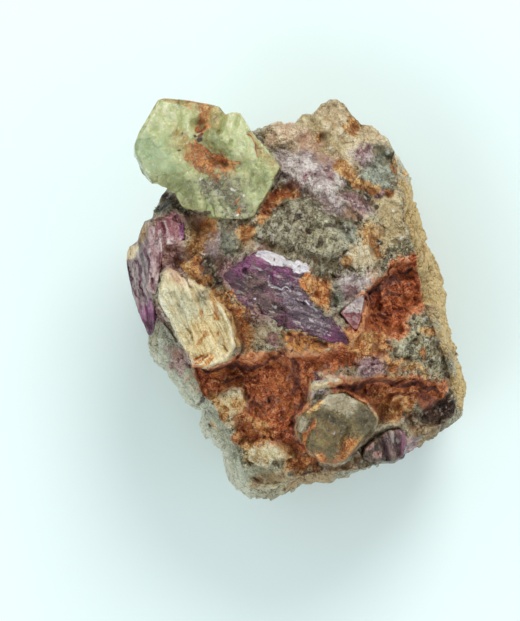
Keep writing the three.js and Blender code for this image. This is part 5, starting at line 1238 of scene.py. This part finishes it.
# Stray quartz and mica specks that every glinting mineral has a few of, the pale ones partly painted glints:
# which of the small grains, by the number that each grain has from 0 to 1, and their colour
PALE_SPECK_AND_PAINTED_GLINT, PALE_STEP = "efe9dc", (0.9, 0.94)
DARK_SPECK, DARK_STEP = "33261c", (0.12, 0.06)
# A mineral's weight with its border's pattern goes from nothing to whole over the first step. The second one
# keeps the pattern from showing where the weight is next to nothing
BORDER_STEP = (0.22, 0.82)
LEAST_WEIGHT_STEP = (0.03, 0.3)
# How far the roughness goes from the smoothest grain to the roughest
WEAR = 0.2
MIDDLE_GREY = (0.5, 0.5, 0.5)


def linear(hex_colour):
    """An sRGB hex colour as linear red, green, blue and alpha."""
    channels = [int(hex_colour[n:n + 2], 16) / 255 for n in (0, 2, 4)]
    return [c / 12.92 if c <= 0.04045 else ((c + 0.055) / 1.055) ** 2.4 for c in channels] + [1.0]


def add(tree, kind, links=None, inputs=None, **settings):
    """Adds a node with its settings and its own values, and joins outputs to its inputs."""
    node = tree.nodes.new("ShaderNode" + kind)
    for name, value in settings.items():
        setattr(node, name, value)
    for name, value in (inputs or {}).items():
        node.inputs[name].default_value = value
    for name, output in (links or {}).items():
        tree.links.new(output, node.inputs[name])
    return node


def join(tree, node, values):
    """Gives sockets their values: an output is linked and anything else becomes the socket's own value."""
    for socket, value in values:
        if isinstance(value, bpy.types.NodeSocket):
            tree.links.new(value, node.inputs[socket])
        elif value is not None:
            node.inputs[socket].default_value = value


def ramp(tree, factor, stops):
    """A colour ramp on a factor, with (place, hex colour) stops."""
    node = add(tree, "ValToRGB", {"Fac": factor})
    elements = node.color_ramp.elements
    while len(elements) < len(stops):
        elements.new(0.5)
    for element, (place, colour) in zip(elements, stops):
        element.position = place
        element.color = linear(colour)
    return node.outputs["Color"]


def mix(tree, factor, a, b, kind="RGBA"):
    """A mix of two colours or two numbers."""
    node = add(tree, "Mix", data_type=kind)
    first, second, out = {"RGBA": (6, 7, 2), "FLOAT": (2, 3, 0)}[kind]
    join(tree, node, ((0, factor), (first, a), (second, b)))
    return node.outputs[out]


def sums(tree, operation, a, b, c=None, clamp=False):
    """One arithmetic step on numbers or outputs."""
    node = add(tree, "Math", operation=operation, use_clamp=clamp)
    join(tree, node, ((0, a), (1, b), (2, c)))
    return node.outputs[0]


def step_between(tree, value, low, high):
    """A factor that runs from 0 at the low value to 1 at the high one, smoothly."""
    return add(tree, "MapRange", {"Value": value}, {"From Min": low, "From Max": high},
               interpolation_type="SMOOTHSTEP").outputs[0]


def new_material(name):
    """An empty node material with its main shader, and its object coordinates in millimetres."""
    material = bpy.data.materials.new(name)
    material.use_nodes = True
    tree = material.node_tree
    tree.nodes.clear()
    shader = add(tree, "BsdfPrincipled")
    add(tree, "OutputMaterial", {"Surface": shader.outputs[0]})
    coordinates = add(tree, "TexCoord")
    in_mm = add(tree, "VectorMath", {0: coordinates.outputs["Object"]}, {"Scale": 1 / MM},
                operation="SCALE").outputs[0]
    return material, tree, shader, in_mm


def noise(tree, place, size_mm, detail=3.0, roughness=0.55):
    """Cloudy noise from 0 to 1 whose features are about so many millimetres across."""
    return add(tree, "TexNoise", {"Vector": place}, {
        "Scale": 1 / size_mm, "Detail": detail, "Roughness": roughness}).outputs["Fac"]


def grains_of(tree, place, size_mm):
    """Grains of about so many millimetres: each one's random colour, that colour's parts, and how far its
    middle is."""
    node = add(tree, "TexVoronoi", {"Vector": place}, {"Scale": 1 / size_mm})
    split = add(tree, "SeparateColor", {"Color": node.outputs["Color"]}).outputs
    return node.outputs["Color"], split, node.outputs["Distance"]


def turned_normal(tree, grain_colour, strength):
    """The surface normal, turned a little for each grain, so that grains glint one by one."""
    geometry = add(tree, "NewGeometry")
    centred = add(tree, "VectorMath", {0: grain_colour}, {1: MIDDLE_GREY}, operation="SUBTRACT")
    scaled = add(tree, "VectorMath", {0: centred.outputs[0]}, operation="SCALE")
    join(tree, scaled, (("Scale", strength),))
    added = add(tree, "VectorMath", {0: geometry.outputs["Normal"], 1: scaled.outputs[0]}, operation="ADD")
    return add(tree, "VectorMath", {0: added.outputs[0]}, operation="NORMALIZE").outputs[0]


def bump(tree, height, distance_mm, normal):
    """A bump of so many millimetres on top of a normal."""
    return add(tree, "Bump", {"Height": height, "Normal": normal},
               {"Distance": distance_mm * MM}).outputs[0]


def mark(tree, name):
    """A number kept on the surface's own points."""
    return add(tree, "Attribute", attribute_name=name).outputs["Fac"]


def grains_edge(tree, place, size_mm):
    """How near the border between two grains a place is: 0 on the border."""
    return add(tree, "TexVoronoi", {"Vector": place}, {"Scale": 1 / size_mm},
               feature="DISTANCE_TO_EDGE").outputs["Distance"]


def warped(tree, place, size_mm, reach_mm):
    """Places moved about by cloudy noise, so that grains drawn from them aren't straight-sided."""
    cloud = add(tree, "TexNoise", {"Vector": place}, {"Scale": 1 / size_mm, "Detail": 2.0})
    centred = add(tree, "VectorMath", {0: cloud.outputs["Color"]}, {1: MIDDLE_GREY},
                  operation="SUBTRACT").outputs[0]
    return add(tree, "VectorMath", {0: centred, 2: place}, {1: (4 * reach_mm,) * 3},
               operation="MULTIPLY_ADD").outputs[0]


def centred_sum(tree, start, *parts):
    """A start plus each pattern's distance from its middle, times its own gain."""
    total = start
    for pattern, gain in parts:
        total = sums(tree, "ADD", total, sums(tree, "MULTIPLY_ADD", pattern, gain, -0.5 * gain))
    return total


def mineral_material(name, base, patches, grain_mm=0.28, streak=(-35, 1.6), relief_mm=0.17, ior=1.54,
                     transmission=0.0, subsurface=0.0, clearness_mm=1.0, fibrous=False, cracks=0.38):
    """Minerals laid over a base one in the order of the table, each where its mark is high. Inside every
    mineral the lightness goes grain by grain or in streaky clouds, and darkens in the pits and lightens on
    the ridges as painted shade and light. Borders follow fine clouds and grit, and odd-coloured grains
    gather in the pits. Grains of a fibrous crystal are drawn out along its streaks. Crusts hide the depth of
    a clear crystal."""
    material, tree, shader, place = new_material(name)
    direction, stretch = streak
    flow = add(tree, "Mapping", {"Vector": place}, {
        "Rotation": (0, 0, math.radians(direction)), "Scale": (stretch, 1, stretch / 2)},
        vector_type="TEXTURE").outputs[0]
    bent = warped(tree, flow if fibrous else place, BEND_MM, BEND_REACH_MM)
    small, small_parts, small_distance = grains_of(tree, bent, grain_mm)
    large_parts = grains_of(tree, bent, LARGE_GRAIN * grain_mm)[1]
    crack = step_between(tree, grains_edge(tree, bent, LARGE_GRAIN * grain_mm), 0.0, CRACK_WIDTH)
    cloud = noise(tree, flow, CLOUD_MM, 5.0, 0.65)
    fine_cloud = noise(tree, flow, FINE_CLOUD_MM, 4.0, 0.7)
    grit = noise(tree, place, GRIT_MM, 2.0, 0.7)
    cavity = mark(tree, "cavity")

    # Painted shade and light: the lightness falls in the pits and rises on the ridges by their depth
    pit = sums(tree, "MULTIPLY_ADD", cavity, -PIT_SHADE, 0.5)
    grainy = centred_sum(tree, pit, (small_parts["Red"], 0.6), (large_parts["Red"], 0.3), (grit, 2.2),
                         (fine_cloud, 0.5))
    grainy = sums(tree, "ADD", grainy, sums(tree, "MULTIPLY_ADD", crack, cracks, -0.9 * cracks))
    cloudy = centred_sum(tree, pit, (cloud, 1.3), (fine_cloud, 0.8), (grit, 0.9))
    border = centred_sum(tree, 0.0, (small_parts["Green"], 0.2), (large_parts["Green"], 0.25),
                         (fine_cloud, 1.3), (grit, 1.2))
    odd = centred_sum(tree, sums(tree, "MULTIPLY", cavity, 0.8), (cloud, 1.5), (large_parts["Blue"], 0.6),
                      (grit, 0.9))
    odd = sums(tree, "MULTIPLY", step_between(tree, odd, *ODD_STEP), ODD_COVER)
    pale_speck_and_painted_glint = step_between(tree, small_parts["Blue"], *PALE_STEP)
    dark_speck = step_between(tree, small_parts["Blue"], *DARK_STEP)

    colour, roughness, glint, cover = None, None, None, 0.0
    for mineral in [base] + [m for m in MINERALS if m in patches and m != base]:
        dark, middle, pale, odd_one, rough, sparkle, graininess = MINERALS[mineral]
        light = mix(tree, graininess, cloudy, grainy, "FLOAT")
        own = ramp(tree, light, list(zip(LIGHTNESS_STOPS, (dark, middle, pale))))
        own = mix(tree, odd, own, linear(odd_one))
        if mineral == base:
            colour, roughness, glint = own, rough, sparkle
            continue
        weight = mark(tree, mineral)
        bordered = step_between(tree, sums(tree, "ADD", weight, border), *BORDER_STEP)
        share = sums(tree, "MULTIPLY", bordered, step_between(tree, weight, *LEAST_WEIGHT_STEP))
        colour = mix(tree, share, colour, own)
        roughness = mix(tree, share, roughness, rough, "FLOAT")
        glint = mix(tree, share, glint, sparkle, "FLOAT")
        if mineral in CRUSTS:
            cover = sums(tree, "MAXIMUM", share, cover)
    # Pale specks, partly pale quartz grains and partly painted glints, as many as the mineral's glint
    colour = mix(tree, sums(tree, "MULTIPLY", pale_speck_and_painted_glint, glint, clamp=True), colour, linear(PALE_SPECK_AND_PAINTED_GLINT))
    colour = mix(tree, sums(tree, "MULTIPLY", dark_speck, glint, clamp=True), colour, linear(DARK_SPECK))

    wear = sums(tree, "MULTIPLY_ADD", small_parts["Blue"], WEAR, -WEAR / 2)
    clear = sums(tree, "SUBTRACT", 1.0, cover)
    join(tree, shader, (
        ("Base Color", colour), ("IOR", ior),
        ("Roughness", sums(tree, "ADD", roughness, wear, clamp=True)),
        ("Transmission Weight", sums(tree, "MULTIPLY", clear, transmission)),
        ("Subsurface Weight", sums(tree, "MULTIPLY", clear, subsurface)),
        ("Subsurface Scale", clearness_mm * MM)))
    normal = turned_normal(tree, small, glint)
    height = centred_sum(tree, sums(tree, "MULTIPLY", small_distance, -0.8), (grit, 1.1), (fine_cloud, 0.7),
                         (crack, 0.3))
    tree.links.new(bump(tree, height, relief_mm, normal), shader.inputs["Normal"])
    return material


# Operators, one for each piece or group of like pieces

# The picture is this tall in pixels, and shows so many of them a millimetre at a height above the table
PHOTO_HEIGHT = 621
PIXELS_PER_MM = 11.0
SCALE_HEIGHT = 16.0
# Where the camera stands, over the table, and the height of its sensor
AIM = (-3.506, -0.877)
SENSOR_HEIGHT = 24.0
# Half the table's width in metres
TABLE_HALF = 1.5
CARD_ROUGHNESS = 0.9
# The sky's colour, the sine of the height at which it starts to darken and has darkened, and by what share
SKY_COLOUR = "f4fbfc"
OVERHEAD = (0.72, 0.95)
OVERHEAD_LOSS = 0.8

# Pieces that stand for the crystals: name, table, frame node, cells across, relief and the mineral's look
FRACTURED = ((2.4, 0.16, 7, 14.0), (0.8, 0.08, 5, 20.0))
RHODIZITE_PIECES = [
    ("green_rhodizite", RHODIZITE, "rhodizite_crystal", 150, grain_only(*FRACTURED), dict(
        base="pale_rhodizite", grain_mm=0.3, streak=(-75, 2.4), relief_mm=0.05, ior=1.69, transmission=0.25,
        subsurface=0.25, clearness_mm=1.2)),
]
TOURMALINE_PIECES = [
    ("purple_prism", PURPLE_TOURMALINE, "purple_tourmaline", 120,
     striated(-18, 0.4, 0.04, 3, (1.3, 0.1, 9, 16.0), (0.5, 0.07, 13, 26.0)), dict(
         base="plum_tourmaline", grain_mm=0.26, streak=(-18, 3.0), relief_mm=0.08, ior=1.63, fibrous=True)),
    ("pink_prism", PINK_TOURMALINE, "pink_tourmaline", 60, striated(-18, 0.5, 0.015, 3), dict(
        base="red_tourmaline", grain_mm=0.4, streak=(-18, 3.0), relief_mm=0.05, ior=1.63,
        subsurface=0.15)),
    ("left_prism", LEFT_TOURMALINE, "left_tourmaline", 110,
     striated(102, 0.45, 0.12, 3, (1.1, 0.16, 9, 20.0), (0.5, 0.08, 13, 26.0)), dict(
         base="grey_tourmaline", grain_mm=0.22, streak=(102, 5.0), relief_mm=0.1, ior=1.63, fibrous=True)),
    ("left_knob", LEFT_KNOB, "left_tourmaline", 60,
     striated(105, 0.45, 0.08, 3, (1.0, 0.2, 9, 20.0), (0.5, 0.1, 13, 26.0)), dict(
         base="rose_tourmaline", grain_mm=0.24, streak=(105, 4.0), relief_mm=0.08, ior=1.63, fibrous=True)),
    ("lower_prism", LOWER_TOURMALINE, "lower_tourmaline", 70,
     striated(-75, 0.3, 0.1, 3, (1.2, 0.2, 5, 20.0)), dict(
         base="black_tourmaline", grain_mm=0.22, streak=(-75, 5.0), relief_mm=0.1, ior=1.63, fibrous=True)),
]
FELDSPAR_PIECES = [
    ("cream_blade", FELDSPAR_BLADE, "feldspar_blade", 130,
     striated(-63, 0.4, 0.09, 9, (1.4, 0.12, 3, 16.0), (0.6, 0.1, 13, 26.0)), dict(
         base="cream_feldspar", grain_mm=0.2, streak=(-63, 5.0), relief_mm=0.12, ior=1.53,
         fibrous=True, cracks=0.15)),
]
GLASSY_PIECES = [
    ("glassy_lump", GLASSY_CRYSTAL, "glassy_crystal", 90,
     grain_only((1.8, 0.2, 3, 20.0), (0.7, 0.08, 5, 24.0)), dict(
         base="olive_glass", relief_mm=0.06, ior=1.54, transmission=0.2, subsurface=0.1)),
]
LAMPS = (
    # name, place, disc width, setting with its power, colour
    ("key", (0.107, 0.386, 0.335), 0.26, "key_power", (1.0, 0.975, 0.94)),
    ("fill", (-0.30, -0.22, 0.42), 0.36, "fill_power", (1.0, 0.985, 0.96)),
)


def finish_piece(piece, material, node):
    """The piece gets its material, moves with the one body, and stands for its solid of the frame."""
    piece.data.materials.append(material)
    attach(piece, "root")
    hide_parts(node)


def build_crystals(pieces):
    """Builds each crystal of a list from its table, in its own mineral."""
    for name, crystal, node, cells, relief, look in pieces:
        points, quads, fan, marks = crystal_surface(crystal, cells, relief)
        piece = new_piece(name, points, quads, fan, marks)
        finish_piece(piece, mineral_material(name, patches=crystal["patches"], **look), node)
    return {"FINISHED"}


class RockSettings(bpy.types.PropertyGroup):
    """Fineness of the rock's surface."""
    cells: IntProperty(name="Cells", description="Cells across the broken face", default=250, min=20)
    upper_rings: IntProperty(name="Upper rings", description="Rings from the rim to the waist", default=20)
    lower_rings: IntProperty(name="Lower rings", description="Rings from the waist to the foot", default=8)


class StageSettings(bpy.types.PropertyGroup):
    """Table, lights and camera."""
    table_colour: FloatVectorProperty(name="Table colour", description="Colour of the pale table",
                                      subtype="COLOR", size=4, default=linear("ecfcfc"))
    camera_height: FloatProperty(name="Camera height", description="Height of the camera above the table",
                                 default=0.3, unit="LENGTH")
    key_power: FloatProperty(name="Key power", description="Power of the large soft light", default=1.35,
                             unit="POWER")
    fill_power: FloatProperty(name="Fill power", description="Power of the fill light", default=0.6,
                              unit="POWER")
    sky_strength: FloatProperty(name="Sky strength", description="Strength of the even light all round",
                                default=0.98)


class BuildRock(bpy.types.Operator):
    """Builds the broken rock that holds the crystals"""
    bl_idname = "specimen.build_rock"
    bl_label = "Build rock"

    def execute(self, context):
        settings = context.scene.specimen_rock
        points, quads, fan, marks = rock_surface(settings.cells, settings.upper_rings, settings.lower_rings)
        piece = new_piece("broken_rock", points, quads, fan, marks)
        finish_piece(piece, mineral_material("broken_pegmatite", "sugary_quartz", ROCK_PATCHES), "matrix")
        return {"FINISHED"}


class BuildRhodizite(bpy.types.Operator):
    """Builds the pale green rhodizite crystal"""
    bl_idname = "specimen.build_rhodizite"
    bl_label = "Build rhodizite"

    def execute(self, context):
        return build_crystals(RHODIZITE_PIECES)


class BuildTourmalines(bpy.types.Operator):
    """Builds the tourmaline prisms"""
    bl_idname = "specimen.build_tourmalines"
    bl_label = "Build tourmalines"

    def execute(self, context):
        return build_crystals(TOURMALINE_PIECES)


class BuildFeldspar(bpy.types.Operator):
    """Builds the cream feldspar blade"""
    bl_idname = "specimen.build_feldspar"
    bl_label = "Build feldspar"

    def execute(self, context):
        return build_crystals(FELDSPAR_PIECES)


class BuildGlassy(bpy.types.Operator):
    """Builds the grey-green glassy crystal"""
    bl_idname = "specimen.build_glassy"
    bl_label = "Build glassy crystal"

    def execute(self, context):
        return build_crystals(GLASSY_PIECES)


class BuildStage(bpy.types.Operator):
    """Sets the table, the lights and the camera"""
    bl_idname = "specimen.build_stage"
    bl_label = "Build stage"

    def execute(self, context):
        settings = context.scene.specimen_stage
        # Matt card, which takes a soft shadow and has no gloss of its own
        material, _, shader, _ = new_material("matt_card")
        shader.inputs["Base Color"].default_value = settings.table_colour
        shader.inputs["Roughness"].default_value = CARD_ROUGHNESS
        mesh = bpy.data.meshes.new("table")
        corners = [(x * TABLE_HALF, y * TABLE_HALF, 0) for x, y in ((-1, -1), (1, -1), (1, 1), (-1, 1))]
        mesh.from_pydata(corners, [], [(0, 1, 2, 3)])
        mesh.materials.append(material)
        table = bpy.data.objects.new("table", mesh)
        context.scene.collection.objects.link(table)

        target = Vector((0, 0, SCALE_HEIGHT * MM))
        for name, place, size, power, colour in LAMPS:
            light = bpy.data.lights.new(name, "AREA")
            light.shape = "DISK"
            light.size = size
            light.energy = getattr(settings, power)
            light.color = colour
            lamp = bpy.data.objects.new(name, light)
            lamp.location = place
            lamp.rotation_euler = (target - Vector(place)).to_track_quat("-Z", "Y").to_euler()
            context.scene.collection.objects.link(lamp)

        world = bpy.data.worlds.new("soft_room")
        world.use_nodes = True
        background = world.node_tree.nodes["Background"]
        background.inputs["Color"].default_value = linear(SKY_COLOUR)
        # Less light comes from straight overhead, so that glossy faces that look up keep their colour
        direction = add(world.node_tree, "TexCoord").outputs["Generated"]
        up = add(world.node_tree, "SeparateXYZ", {"Vector": direction}).outputs["Z"]
        overhead = step_between(world.node_tree, up, *OVERHEAD)
        strength = sums(world.node_tree, "MULTIPLY_ADD", overhead, -OVERHEAD_LOSS * settings.sky_strength,
                        settings.sky_strength)
        world.node_tree.links.new(strength, background.inputs["Strength"])
        context.scene.world = world

        lens = bpy.data.cameras.new("camera")
        lens.sensor_fit = "VERTICAL"
        lens.sensor_height = SENSOR_HEIGHT
        distance = settings.camera_height / MM - SCALE_HEIGHT
        lens.lens = SENSOR_HEIGHT * PIXELS_PER_MM * distance / PHOTO_HEIGHT
        camera = bpy.data.objects.new("camera", lens)
        camera.location = (AIM[0] * MM, AIM[1] * MM, settings.camera_height)
        context.scene.collection.objects.link(camera)
        context.scene.camera = camera
        context.scene.view_settings.view_transform = "Standard"
        return {"FINISHED"}


class SpecimenPanel(bpy.types.Panel):
    """The specimen's operators and settings"""
    bl_idname = "VIEW3D_PT_specimen"
    bl_label = "Rhodizite specimen"
    bl_space_type = "VIEW_3D"
    bl_region_type = "UI"
    bl_category = "Specimen"

    def draw(self, context):
        for operator in OPERATORS:
            self.layout.operator(operator.bl_idname)
        for settings in (context.scene.specimen_rock, context.scene.specimen_stage):
            for name in settings.__annotations__:
                self.layout.prop(settings, name)


OPERATORS = (BuildRock, BuildRhodizite, BuildTourmalines, BuildFeldspar, BuildGlassy, BuildStage)
CLASSES = (RockSettings, StageSettings) + OPERATORS + (SpecimenPanel,)


def register():
    """Registers the classes and hangs the settings on the scene."""
    for cls in CLASSES:
        bpy.utils.register_class(cls)
    bpy.types.Scene.specimen_rock = PointerProperty(type=RockSettings)
    bpy.types.Scene.specimen_stage = PointerProperty(type=StageSettings)


def unregister():
    """Takes the settings and the classes away again."""
    del bpy.types.Scene.specimen_rock, bpy.types.Scene.specimen_stage
    for cls in reversed(CLASSES):
        bpy.utils.unregister_class(cls)


def main():
    register()
    bpy.ops.specimen.build_rock()
    bpy.ops.specimen.build_rhodizite()
    bpy.ops.specimen.build_tourmalines()
    bpy.ops.specimen.build_feldspar()
    bpy.ops.specimen.build_glassy()
    bpy.ops.specimen.build_stage()


if __name__ == "__main__":
    main()
